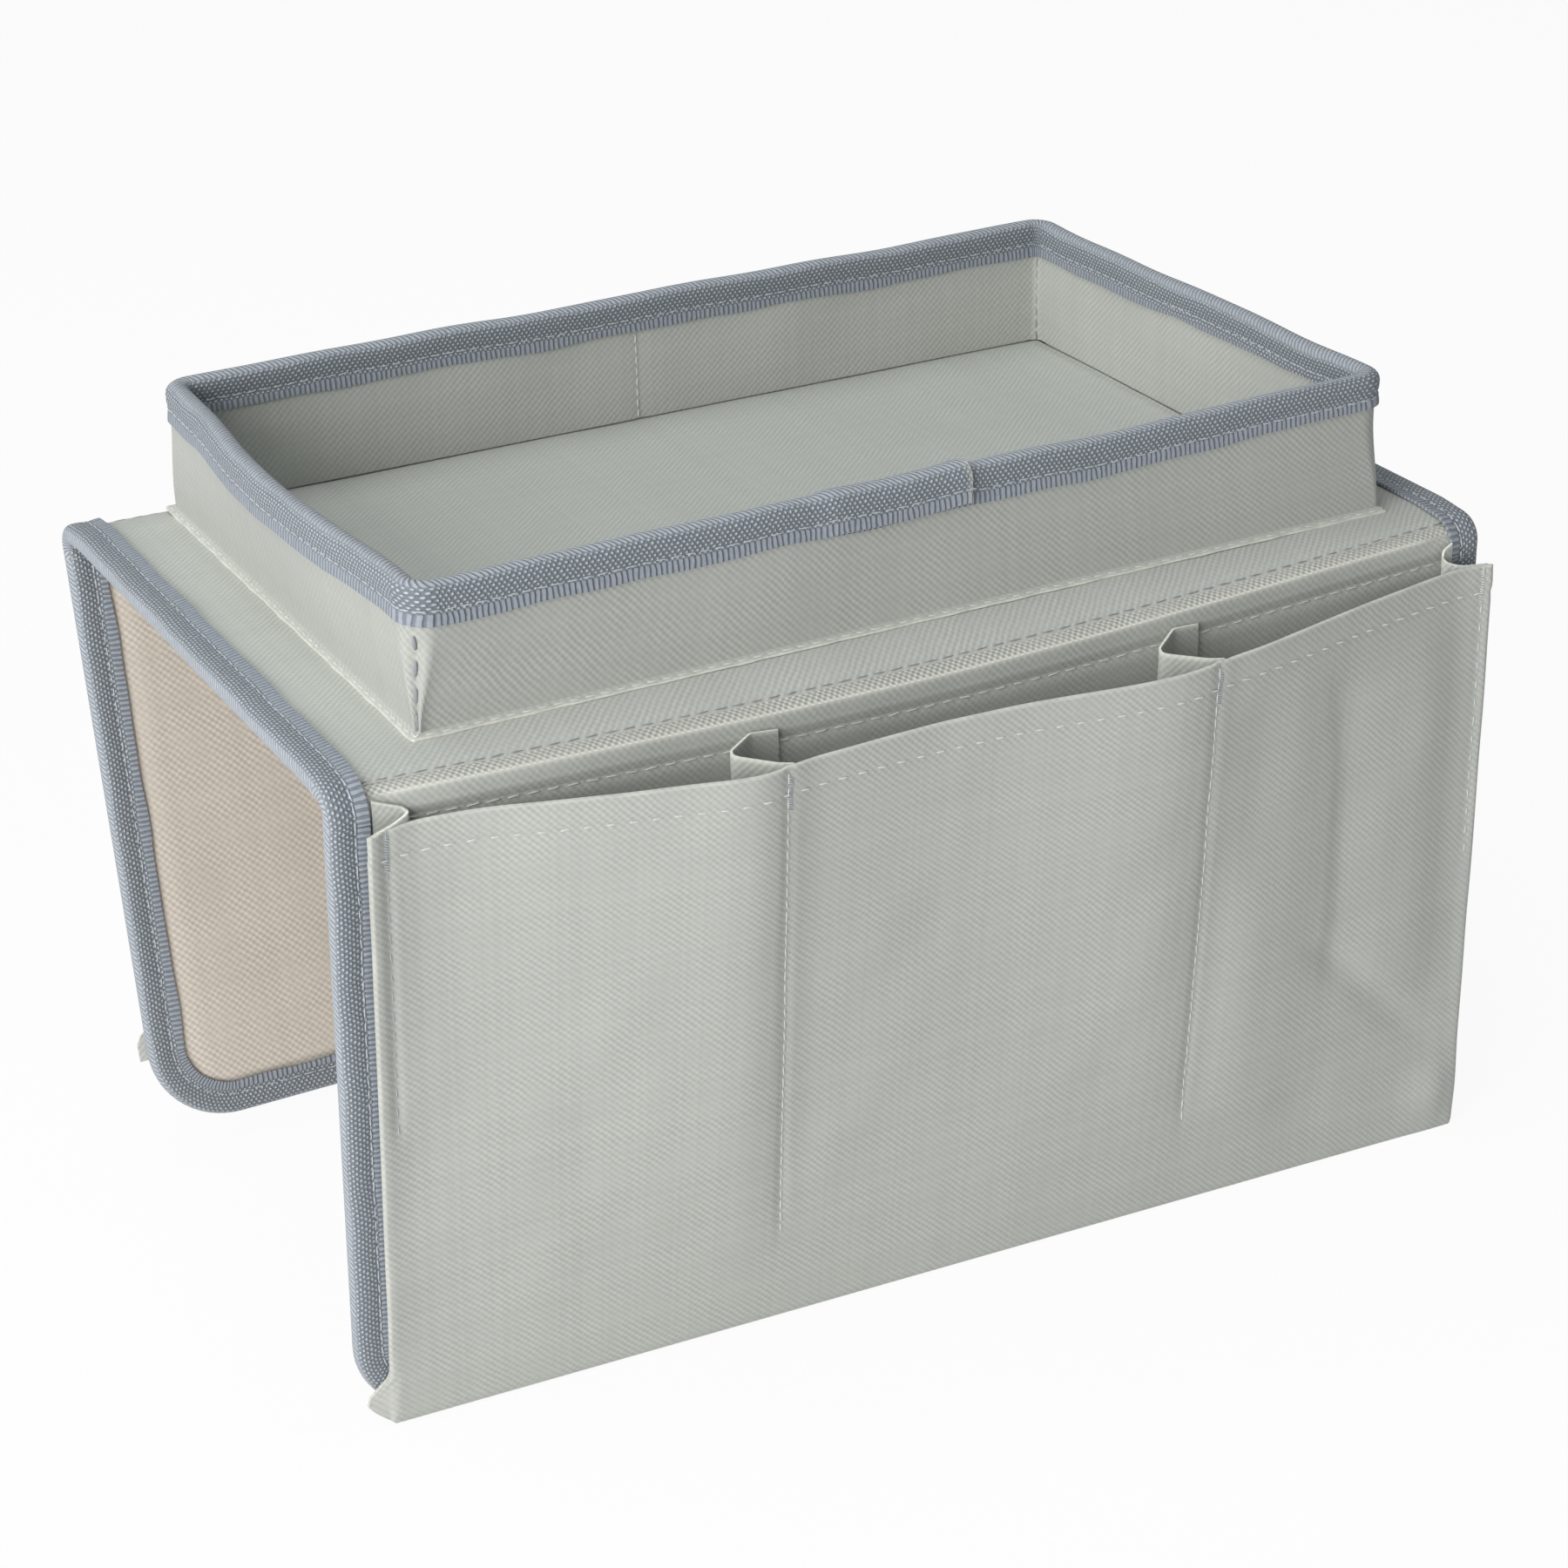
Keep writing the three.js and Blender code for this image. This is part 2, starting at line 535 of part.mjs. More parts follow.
function buildTray() {
  const tray = new THREE.Group();
  tray.position.set(TRAY_SHIFT_X, TRAY_SHIFT_Y, COVER_TOP);
  object.add(tray);
  const halfX = TRAY_LENGTH / 2;
  const halfY = TRAY_WIDTH / 2;
  const boardOuter = -COVER_THICKNESS - LAYER_GAP;
  const boardInner = boardOuter - TRAY_BOARD_THICKNESS;
  const bandOuter = boardInner - LAYER_GAP;
  const wall = bandOuter - COVER_THICKNESS;
  const rim = TRAY_HEIGHT - TAPE_REACH;

  const cornerX = -halfX + TRAY_CORNER_RADIUS;
  const cornerY = -halfY + TRAY_CORNER_RADIUS;
  const slitShape = rectangle(-SEAM_SLIT / 2, SEAM_SLIT / 2, 0, TRAY_CORNER_RADIUS * 3);
  const slit = slab(slitShape, -TRAY_HEIGHT, TRAY_HEIGHT * 2);
  const cornerSlit = slit.rotate([0, 0, 135]).translate([cornerX, cornerY, 0]);
  const skin = slab(trayRing(0, -COVER_THICKNESS), 0, rim);
  const welt = slab(trayRing(WELT_WIDTH, -COVER_THICKNESS), 0, WELT_HEIGHT);
  addPiece(tray, 'tray_outer_band', skin.add(welt).subtract(cornerSlit), SAGE);

  const seamSlit = slit.translate([REAR_SEAM_X - TRAY_SHIFT_X, halfY + wall - TRAY_CORNER_RADIUS, 0]);
  const innerSkin = slab(trayRing(bandOuter, wall), 0, rim);
  addPiece(tray, 'tray_inner_band', innerSkin.subtract(seamSlit), SAGE);

  const runX = halfX - TRAY_CORNER_RADIUS;
  const runY = halfY - TRAY_CORNER_RADIUS;
  const long = slab(rectangle(-runX, runX, halfY + boardInner, halfY + boardOuter), 0, rim);
  const short = slab(rectangle(halfX + boardInner, halfX + boardOuter, -runY, runY), 0, rim);
  addPiece(tray, 'tray_board_rear', long, BOARD);
  addPiece(tray, 'tray_board_front', long.rotate([0, 0, 180]), BOARD);
  addPiece(tray, 'tray_board_right', short, BOARD);
  addPiece(tray, 'tray_board_left', short.rotate([0, 0, 180]), BOARD);

  const floorInset = wall - LAYER_GAP;
  const floorShape = roundedRectangle(
    halfX + floorInset,
    halfY + floorInset,
    TRAY_CORNER_RADIUS + floorInset,
  );
  addPiece(tray, 'tray_floor', slab(floorShape, 0, TRAY_FLOOR_THICKNESS), SAGE);

  const tapeTop = rim + TAPE_REACH;
  const block = slab(trayRing(TAPE_REACH, wall - TAPE_REACH), rim - TAPE_LEG, tapeTop);
  const slot = slab(trayRing(LAYER_GAP, wall - LAYER_GAP), 0, rim + LAYER_GAP);
  const left = SPLICE_START_X - TRAY_SHIFT_X;
  const right = SPLICE_END_X - TRAY_SHIFT_X;
  const low = -halfY - TAPE_REACH;
  const high = -halfY - wall + TAPE_REACH;
  const lap = slab(
    rectangle(left, right, low - TAPE_THICKNESS, high + TAPE_THICKNESS),
    rim - TAPE_LEG,
    tapeTop + TAPE_THICKNESS,
  );
  const under = slab(rectangle(left, right, low, high), 0, tapeTop);
  addPiece(tray, 'tray_rim_binding', block.subtract(slot).add(lap.subtract(under)), TAPE);
}

buildTop();
buildTray();
const frontSide = new THREE.Group();
const rearSide = new THREE.Group();
rearSide.rotation.z = Math.PI;
object.add(frontSide, rearSide);
const sides = [
  [frontSide, 'front', FRONT_LEAN_DEGREES, 0],
  [rearSide, 'rear', REAR_LEAN_DEGREES, REAR_HEM_LIFT],
];
for (const [side, prefix, lean, lift] of sides) {
  buildFold(side, prefix, lean);
  buildFlap(side, prefix, lean, lift);
}

export default object;
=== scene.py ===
"""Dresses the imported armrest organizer: twill cloth, folded binding tape, pleated pockets and stitches."""
import json
import math

import bpy
import numpy as np
from bpy.props import FloatProperty, FloatVectorProperty, PointerProperty
from mathutils import Matrix, Vector


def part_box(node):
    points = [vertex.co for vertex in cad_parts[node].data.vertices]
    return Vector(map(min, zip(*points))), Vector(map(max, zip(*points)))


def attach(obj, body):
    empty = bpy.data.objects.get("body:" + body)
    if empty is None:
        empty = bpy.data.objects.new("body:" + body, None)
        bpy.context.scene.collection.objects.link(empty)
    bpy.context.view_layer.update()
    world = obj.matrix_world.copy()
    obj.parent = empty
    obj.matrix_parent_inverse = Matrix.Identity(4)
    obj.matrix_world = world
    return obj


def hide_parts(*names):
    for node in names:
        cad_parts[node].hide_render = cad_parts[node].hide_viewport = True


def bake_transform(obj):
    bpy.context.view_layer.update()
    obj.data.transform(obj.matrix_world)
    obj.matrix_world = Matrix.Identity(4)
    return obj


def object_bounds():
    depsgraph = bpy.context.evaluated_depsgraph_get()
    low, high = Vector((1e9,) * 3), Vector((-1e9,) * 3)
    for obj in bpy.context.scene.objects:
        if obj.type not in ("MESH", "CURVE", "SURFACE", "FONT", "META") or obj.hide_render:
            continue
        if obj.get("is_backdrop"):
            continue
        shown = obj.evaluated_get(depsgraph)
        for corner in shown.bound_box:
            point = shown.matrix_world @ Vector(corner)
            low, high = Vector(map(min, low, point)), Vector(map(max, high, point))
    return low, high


bl_info = {
    "name": "Armrest organizer",
    "version": (1, 0, 0),
    "blender": (4, 5, 0),
    "location": "3D View > Sidebar > Organizer",
    "description": "Sewn cloth, tape and stitches of a saddle-shaped armrest organizer with a tray",
    "category": "Object",
}

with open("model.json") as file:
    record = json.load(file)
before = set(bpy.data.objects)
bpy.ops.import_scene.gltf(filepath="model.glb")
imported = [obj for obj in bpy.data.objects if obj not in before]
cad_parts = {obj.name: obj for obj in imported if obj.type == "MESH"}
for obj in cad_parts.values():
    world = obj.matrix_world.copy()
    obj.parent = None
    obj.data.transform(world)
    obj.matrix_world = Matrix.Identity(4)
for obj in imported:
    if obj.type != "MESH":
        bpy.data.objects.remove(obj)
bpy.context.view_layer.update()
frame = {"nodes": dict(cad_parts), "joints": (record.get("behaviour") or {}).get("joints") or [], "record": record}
MM = 0.001
UP = (0.0, 0.0, 1.0)
SIDES = ("front", "rear")
ENDS = (("left", -1.0), ("right", 1.0))

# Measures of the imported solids

JOINTS = {joint["name"]: joint for joint in frame["joints"]}
MOUNTS = {mount["name"]: mount for mount in frame["record"]["mounts"]}
HINGE_Y = -JOINTS["front_flap_fold"]["pos_m"][1]
HINGE_Z = JOINTS["front_flap_fold"]["pos_m"][2]
LEAN = {side: math.asin(MOUNTS[f"{side}_flap_inner"]["axis"][2]) for side in SIDES}
HALF_LENGTH, TOP_EDGE, TOP_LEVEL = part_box("top_cover")[1]
FOLD_RADIUS = TOP_LEVEL - HINGE_Z
RIM_LOW, RIM_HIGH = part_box("tray_rim_binding")
TRAY_CENTRE = ((RIM_LOW.x + RIM_HIGH.x) / 2, (RIM_LOW.y + RIM_HIGH.y) / 2)
TRAY_FLOOR = MOUNTS["tray_floor"]["pos_m"][2]
WALL_TOP = RIM_HIGH.z - 3 * MM
HEM_LIFT = {"front": 0.0, "rear": 2 * MM}  # how far a hem hangs higher than the solid's
HEM_DROP = {
    side: (HINGE_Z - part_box(f"{side}_cover")[0].z - FOLD_RADIUS * math.sin(LEAN[side])) / math.cos(LEAN[side])
    - HEM_LIFT[side]
    for side in SIDES
}

# Measures that several pieces share

GRID = 3 * MM  # usual distance between the points of a cloth
CLOSE_GRID = 2.5 * MM
SEAM_INSET = 9 * MM  # the rows of stitches along the folds stop this far from the ends
SEAM_PINCH = 0.6 * MM  # how deep such a row draws the cloth in
SEAM_WIDTH = 1.2 * MM  # how broad that pinch is
SAG_REACH = (77 * MM, 93 * MM)  # where the top starts to hang, and where it hangs as far as its edge
FLAP_SAG_DEPTH = 70 * MM  # at this depth a flap no longer follows the hanging edge
TOP_STITCH = HINGE_Y + 2 * MM  # the row of stitches at each long edge of the top
FOLD_TAIL = 2 * MM  # how far a fold's cloth reaches past its bend


# Sizes and colours


def length_prop(name, description, default):
    """A length in metres."""
    return FloatProperty(name=name, description=description, default=default, unit="LENGTH")


def colour_prop(name, description, *screen):
    """A colour, from a screen colour in steps of 0 to 255."""
    linear = tuple(((step / 255 + 0.055) / 1.055) ** 2.4 for step in screen)
    return FloatVectorProperty(name=name, description=description, default=linear, subtype="COLOR", size=3)


class OrganizerSizes(bpy.types.PropertyGroup):
    """Sizes of the cloth, the tape and the thread."""

    cloth: length_prop("Cloth", "Thickness of the cover cloth", 0.8 * MM)
    lining: length_prop("Lining", "Thickness of the lining and of the pleats", 0.6 * MM)
    pocket: length_prop("Pocket cloth", "Thickness of the pocket panels", 0.9 * MM)
    tape: length_prop("Tape", "Thickness of the binding tape", 0.8 * MM)
    tape_leg: length_prop("Tape leg", "How far the folded tape reaches over the cloth", 8.5 * MM)
    tape_half: length_prop("Half tape", "Half the thickness of a bound edge", 3.0 * MM)
    tape_reach: length_prop("Tape reach", "How far the tape's fold stands past the cloth", 1.1 * MM)
    hem_corner: length_prop("Hem corner", "Radius of a flap's lower corners", 22 * MM)
    twist: FloatProperty(
        name="Flap twist", description="How far the front flap turns from its mean lean at either end",
        default=math.radians(2.9), subtype="ANGLE")
    stitch_pitch: length_prop("Stitch pitch", "Distance from one stitch to the next", 4.6 * MM)
    stitch_length: length_prop("Stitch length", "Length of a stitch between its two holes", 3.5 * MM)
    thread: length_prop("Thread", "Thickness of the sewing thread", 0.5 * MM)
    weave_pitch: length_prop("Weave pitch", "Distance between neighbouring yarns of the twill", 0.97 * MM)


class OrganizerColours(bpy.types.PropertyGroup):
    """Colours of the cloth, the tape, the thread and the board."""

    sage_light: colour_prop("Sage, upper yarn", "Yarn in the raised ribs of the cover cloth", 198, 201, 196)
    sage_dark: colour_prop("Sage, lower yarn", "Yarn between the ribs of the cover cloth", 178, 181, 176)
    lining_light: colour_prop("Lining, upper yarn", "Yarn in the raised ribs of the lining", 221, 213, 203)
    lining_dark: colour_prop("Lining, lower yarn", "Yarn between the ribs of the lining", 194, 186, 176)
    tape_light: colour_prop("Tape knots", "Raised knots of the binding tape", 193, 200, 206)
    tape_dark: colour_prop("Tape ground", "Ground of the binding tape between its knots", 118, 125, 134)
    tape_rib: colour_prop("Tape ribs", "Ribs along the edges of the binding tape", 158, 165, 176)
    thread: colour_prop("Thread", "White sewing thread", 222, 224, 222)
    thread_soft: colour_prop("Thread, soft", "Blue-grey thread of the tape and the bar tacks", 190, 196, 203)
    thread_dark: colour_prop("Thread, dark", "Grey thread of the top and the tray's corners", 150, 148, 157)
    dots_light: colour_prop("Stretched cloth, light", "Raised yarns of the strip along a fold", 216, 213, 204)
    dots_dark: colour_prop("Stretched cloth, dark", "Deep yarns of the strip along a fold", 163, 167, 165)
    # Pale bare yarn of rubbed and cut edges; on the folds' creases it is also a painted highlight.
    worn: colour_prop("Worn edge", "Pale bare yarn along folded and cut edges", 234, 234, 226)
    board: colour_prop("Board", "Stiffening board inside the cloth", 212, 210, 205)


def sizes():
    """The organizer's sizes in this scene."""
    return bpy.context.scene.organizer_sizes


def colours():
    """The organizer's colours in this scene."""
    return bpy.context.scene.organizer_colours


# Materials


class NodeSheet:
    """Adds nodes to one tree and links what they are given."""

    def __init__(self, tree):
        self.tree = tree

    def set(self, socket, value):
        """Links a socket to a socket, or sets its value."""
        if isinstance(value, bpy.types.NodeSocket):
            self.tree.links.new(value, socket)
        else:
            socket.default_value = value

    def fill(self, node, **inputs):
        """Sets a node's inputs, each by its name or, after an underscore, by its place."""
        for name, value in inputs.items():
            self.set(node.inputs[int(name[1:]) if name[0] == "_" else name.replace("_", " ")], value)

    def add(self, kind, settings=None, **inputs):
        """A node of that kind, with its settings and its inputs."""
        node = self.tree.nodes.new(kind)
        for name, value in (settings or {}).items():
            setattr(node, name, value)
        self.fill(node, **inputs)
        return node

    def result(self, kind, settings=None, **inputs):
        """The first output of a new node."""
        return self.add(kind, settings, **inputs).outputs[0]

    def math(self, operation, *values):
        """The result of a Math node."""
        inputs = {f"_{place}": value for place, value in enumerate(values)}
        return self.result("ShaderNodeMath", {"operation": operation}, **inputs)

    def mix(self, factor, first, second):
        """A colour between two colours."""
        return self.add("ShaderNodeMix", {"data_type": "RGBA"}, _0=factor, _6=first, _7=second).outputs[2]

    def ramp(self, value, low, high, start=0.0, end=1.0):
        """A smooth step of a value from low to high."""
        settings = {"interpolation_type": "SMOOTHSTEP"}
        return self.result("ShaderNodeMapRange", settings, _0=value, _1=low, _2=high, _3=start, _4=end)

    def noise(self, where, scale, detail, dimensions="2D", **inputs):
        """The value of a noise texture."""
        settings = {"noise_dimensions": dimensions}
        return self.result("ShaderNodeTexNoise", settings, Vector=where, Scale=scale, Detail=detail, **inputs)

    def scaled(self, colour, factor):
        """A colour times a factor."""
        return self.result("ShaderNodeVectorMath", {"operation": "SCALE"}, _0=colour, Scale=factor)

    def bump(self, height, strength, distance):
        """A normal from a height."""
        return self.result("ShaderNodeBump", Strength=strength, Distance=distance, Height=height)

    def on_object(self):
        """Places on the object itself."""
        return self.add("ShaderNodeTexCoord").outputs["Object"]

    def to_camera(self):
        """1 for what the camera sees straight or in a mirror, else 0."""
        seen = self.add("ShaderNodeLightPath").outputs
        return self.math("MAXIMUM", seen["Is Camera Ray"], seen["Is Glossy Ray"])


def start_group(name, kind, given, made):
    """A new node group, its sheet of nodes and its inputs, with sockets by name and kind."""
    tree = bpy.data.node_groups.new(name, kind)
    for in_out, sockets in (("INPUT", given), ("OUTPUT", made)):
        for label, sort in sockets.items():
            tree.interface.new_socket(label, in_out=in_out, socket_type="NodeSocket" + sort)
    sheet = NodeSheet(tree)
    return tree, sheet, sheet.add("NodeGroupInput").outputs


def weave_group():
    """Node group of a cloth of thick yarns, map in metres: knuckles in slanting rows, uneven from yarn to yarn."""
    tree, sheet, given = start_group(
        "Cloth weave", "ShaderNodeTree",
        {"Map": "Vector", "Pitch": "Float", "Hand": "Float", "Counter": "Float", "Upper": "Color", "Lower": "Color"},
        {"Colour": "Color", "Height": "Float"})
    calc = sheet.math
    shift = calc("MULTIPLY", calc("SUBTRACT", sheet.noise(given["Map"], 160.0, 2.0), 0.5), 0.9)
    parts = sheet.add("ShaderNodeSeparateXYZ", _0=given["Map"]).outputs
    across = calc("ADD", calc("DIVIDE", parts[0], given["Pitch"]), shift)
    along = calc("DIVIDE", parts[1], given["Pitch"])
    lean = calc("MULTIPLY", along, given["Hand"])
    rows = calc("COSINE", calc("MULTIPLY", calc("ADD", across, lean), math.pi))
    counter = calc("COSINE", calc("MULTIPLY", calc("SUBTRACT", across, lean), math.pi))
    knuckle = calc("MULTIPLY_ADD", counter, given["Counter"], rows)
    height = calc("MULTIPLY_ADD", knuckle, 0.36, 0.5)
    depth = sheet.ramp(sheet.noise(given["Map"], 95.0, 3.0), 0.30, 0.72, 0.35, 1.25)
    show = calc("MULTIPLY_ADD", calc("MULTIPLY", knuckle, depth), 0.4, 0.5)
    warp, weft = (
        sheet.result("ShaderNodeTexWhiteNoise", {"noise_dimensions": "1D"}, W=calc("FLOOR", yarn))
        for yarn in (across, along))
    tone = calc("MULTIPLY_ADD", calc("ADD", warp, weft), 0.035, 0.965)
    colour = sheet.mix(show, given["Lower"], given["Upper"])
    sheet.add("NodeGroupOutput", Colour=sheet.scaled(colour, tone), Height=height)
    return tree


def tape_group():
    """Node group of a tape, map in metres: ribs along both edges, knots on the legs, slanting ribs over the fold."""
    tree, sheet, given = start_group(
        "Tape weave", "ShaderNodeTree",
        {"Map": "Vector", "Pitch": "Float", "Width": "Float", "Knot": "Color", "Rib": "Color", "Ground": "Color"},
        {"Colour": "Color", "Height": "Float"})
    calc = sheet.math

    def off_middle(value):
        return calc("SUBTRACT", calc("FRACT", value), 0.5)

    shift = calc("MULTIPLY", calc("SUBTRACT", sheet.noise(given["Map"], 240.0, 2.0), 0.5), 0.6)
    parts = sheet.add("ShaderNodeSeparateXYZ", _0=given["Map"]).outputs
    along = calc("ADD", calc("DIVIDE", parts[0], given["Pitch"]), shift)
    across = calc("ADD", calc("DIVIDE", parts[1], calc("MULTIPLY", given["Pitch"], 0.66)), shift)
    stagger = calc("MULTIPLY", calc("FLOORED_MODULO", calc("FLOOR", across), 2.0), 0.5)
    knot_x = off_middle(calc("ADD", along, stagger))
    knot_y = calc("MULTIPLY", off_middle(across), 0.72)
    far = calc("SQRT", calc("ADD", calc("MULTIPLY", knot_x, knot_x), calc("MULTIPLY", knot_y, knot_y)))
    knot = sheet.ramp(far, 0.37, 0.13)
    rib = sheet.ramp(calc("ABSOLUTE", off_middle(along)), 0.43, 0.2)
    crest = calc("SUBTRACT", parts[1], calc("MULTIPLY", given["Width"], 0.5))
    twist = calc("ADD", along, calc("DIVIDE", crest, 2.6 * MM))
    rope = sheet.ramp(calc("ABSOLUTE", off_middle(twist)), 0.46, 0.16)
    edge = calc("MINIMUM", parts[1], calc("SUBTRACT", given["Width"], parts[1]))
    at_edge = sheet.ramp(edge, 3.3 * MM, 2.5 * MM)
    at_fold = sheet.ramp(calc("ABSOLUTE", crest), 3.1 * MM, 1.6 * MM)
    leg = sheet.mix(knot, given["Ground"], given["Knot"])
    selvedge = sheet.mix(rib, sheet.mix(0.12, given["Ground"], given["Rib"]), given["Rib"])
    groove, crown = sheet.mix(0.6, given["Ground"], given["Rib"]), sheet.mix(0.5, given["Rib"], given["Knot"])
    colour = sheet.mix(at_fold, sheet.mix(at_edge, leg, selvedge), sheet.mix(rope, groove, crown))
    height = sheet.result("ShaderNodeMix", _0=at_edge, _2=knot, _3=rib)
    height = sheet.result("ShaderNodeMix", _0=at_fold, _2=height, _3=rope)
    tone = calc("MULTIPLY_ADD", sheet.noise(given["Map"], 900.0, 3.0), 0.36, 0.82)
    sheet.add("NodeGroupOutput", Colour=sheet.scaled(colour, tone), Height=height)
    return tree


def start_material(name):
    """An empty node material, with its sheet of nodes and its shader."""
    material = bpy.data.materials.new(name)
    material.use_nodes = True
    material.node_tree.nodes.clear()
    sheet = NodeSheet(material.node_tree)
    shader = sheet.add("ShaderNodeBsdfPrincipled")
    sheet.add("ShaderNodeOutputMaterial", Surface=shader.outputs[0])
    return material, sheet, shader


def opaque(hue, tone=1.0):
    """A colour with its alpha, made darker by a tone."""
    return (*[part * tone for part in hue], 1.0)


def woven_material(name, group, roughness, sheen, bump, soil, **inputs):
    """A cloth finish: a weave group on the piece's own map, uneven dye, pale edges of bare yarn with a painted
    highlight along the folds' creases, and a bump from the yarns.
    """
    material, sheet, shader = start_material(name)
    chart = sheet.result("ShaderNodeUVMap", {"uv_map": "weave"})
    weave = sheet.add("ShaderNodeGroup", {"node_tree": group}, Map=chart, **inputs).outputs
    dye = sheet.noise(sheet.on_object(), 26.0, 4.0, "3D", Roughness=0.6)
    dyed = sheet.scaled(weave[0], sheet.math("MULTIPLY_ADD", dye, soil, 1.0 - soil * 0.5))
    # Pale bare yarn where edges are rubbed; along the folds' creases the same pale colour is also a painted highlight.
    worn = sheet.add("ShaderNodeAttribute", {"attribute_name": "worn"}).outputs["Fac"]
    sheet.fill(
        shader,
        Base_Color=sheet.mix(worn, dyed, opaque(colours().worn)),
        Normal=sheet.bump(weave[1], bump, 0.35 * MM),
        Roughness=sheet.math("MULTIPLY_ADD", dye, 0.12, roughness - 0.06),
        Specular_IOR_Level=0.28,
        Sheen_Weight=sheen,
        Sheen_Roughness=0.45)
    return material


def thread_material(name, hue):
    """Twisted thread of one colour."""
    material, sheet, shader = start_material(name)
    ply = sheet.noise(sheet.on_object(), 2400.0, 2.0, "3D")
    base = sheet.scaled(tuple(hue), sheet.math("MULTIPLY_ADD", ply, 0.30, 0.82))
    sheet.fill(shader, Base_Color=base, Normal=sheet.bump(ply, 0.5, 0.1 * MM), Roughness=0.55)
    return material


def board_material():
    """Pale stiffening board with a fibrous face."""
    material, sheet, shader = start_material("stiffening_board")
    fibre = sheet.noise(sheet.on_object(), 700.0, 5.0, "3D")
    base = sheet.mix(fibre, opaque(colours().board, 0.8), opaque(colours().board))
    sheet.fill(shader, Base_Color=base, Normal=sheet.bump(fibre, 0.3, 0.1 * MM), Roughness=0.8)
    return material


FINISHES = {}


def make_finishes():
    """Every finish of the organizer, made once."""
    size, hue = sizes(), colours()
    twill, knotted = weave_group(), tape_group()

    def yarns(upper, lower, pitch=1.0, counter=0.4):
        return {"Upper": upper, "Lower": lower, "Pitch": pitch * size.weave_pitch, "Counter": counter}

    sage = yarns(opaque(hue.sage_light), opaque(hue.sage_dark))
    # Painted shade: the sage yarns made darker for the tray's outer band, whose walls lie in shade.
    shade = yarns(opaque(hue.sage_light, 0.9), opaque(hue.sage_dark, 0.88))
    dots = yarns(opaque(hue.dots_light), opaque(hue.dots_dark), 0.86, 1.0)
    beige = yarns(opaque(hue.lining_light), opaque(hue.lining_dark), 1.1, 0.6)
    for key, name, hand, cloth, bump in (
            ("sage", "sage_twill", 1.0, sage, 0.22),
            ("sage_painted_shade", "sage_twill_tray", 1.0, shade, 0.22),
            ("sage_turned", "sage_twill_turned", -1.0, sage, 0.22),
            ("sage_dots", "sage_twill_stretched", -1.0, dots, 0.40)):
        FINISHES[key] = woven_material(name, twill, 0.66, 0.06, bump, 0.10, Hand=hand, **cloth)
    FINISHES["lining"] = woven_material("beige_twill", twill, 0.74, 0.08, 0.30, 0.12, Hand=-1.0, **beige)
    width = 2 * size.tape_leg + math.pi * 0.93 * size.tape_half - 2 * size.tape_reach
    FINISHES["tape"] = woven_material(
        "binding_tape", knotted, 0.72, 0.14, 1.0, 0.12, Width=width, Pitch=1.42 * MM,
        Knot=opaque(hue.tape_light), Rib=opaque(hue.tape_rib), Ground=opaque(hue.tape_dark))
    for name in ("thread", "thread_soft", "thread_dark"):
        FINISHES[name] = thread_material(name, getattr(hue, name))
    FINISHES["board"] = board_material()


# Forms


def ease(low, high, value):
    """A smooth step from 0 at low to 1 at high."""
    share = np.clip((value - low) / (high - low), 0.0, 1.0)
    return share * share * (3.0 - 2.0 * share)


def hump(value, centre, width):
    """A soft hump of height 1."""
    return np.exp(-(((value - centre) / width) ** 2))


def wander(value, seed, length):
    """An even wandering between -1 and 1, of about that wave length."""
    turns = np.asarray(value) / length * 2.0 * math.pi
    waves = ((0.5, 1.0, 1.7), (0.3, 1.73, 2.9), (0.2, 2.61, 0.6))
    return sum(height * np.sin(rate * turns + start * seed) for height, rate, start in waves)


def steps(low, high, pitch, *fine):
    """Places from low to high about one pitch apart, closer at each (centre, reach, pitch) of fine."""
    places = [np.linspace(low, high, max(2, int(round((high - low) / pitch)) + 1))]
    for centre, reach, close in fine:
        places.append(np.arange(max(low, centre - reach), min(high, centre + reach), close))
    merged = np.unique(np.concatenate(places))
    keep = np.concatenate([[True], np.diff(merged) > 0.12 * MM])
    keep[-1] = True
    return merged[keep]


def soft_line(knots, x, width):
    """A line through knots in millimetres, rounded over about that width."""
    knots = np.array(knots) * MM
    fine = np.linspace(knots[0, 0], knots[-1, 0], 1221)
    line = np.interp(fine, knots[:, 0], knots[:, 1])
    pitch = fine[1] - fine[0]
    reach = int(3 * width / pitch)
    kernel = hump(np.arange(-reach, reach + 1) * pitch, 0.0, width)
    padded = np.concatenate([np.full(reach, line[0]), line, np.full(reach, line[-1])])
    return np.interp(x, fine, np.convolve(padded, kernel / kernel.sum(), "valid"))


def unit(vectors):
    """The vectors at length 1."""
    return vectors / np.maximum(np.linalg.norm(vectors, axis=-1, keepdims=True), 1e-12)


def together(*values):
    """Values side by side in a last axis, spread over one grid."""
    return np.stack(np.broadcast_arrays(*values), -1)


def run_along(points):
    """Distance along each line of points from its first one."""
    step = np.linalg.norm(np.diff(points, axis=-2), axis=-1)
    return np.concatenate([np.zeros((*step.shape[:-1], 1)), np.cumsum(step, -1)], -1)


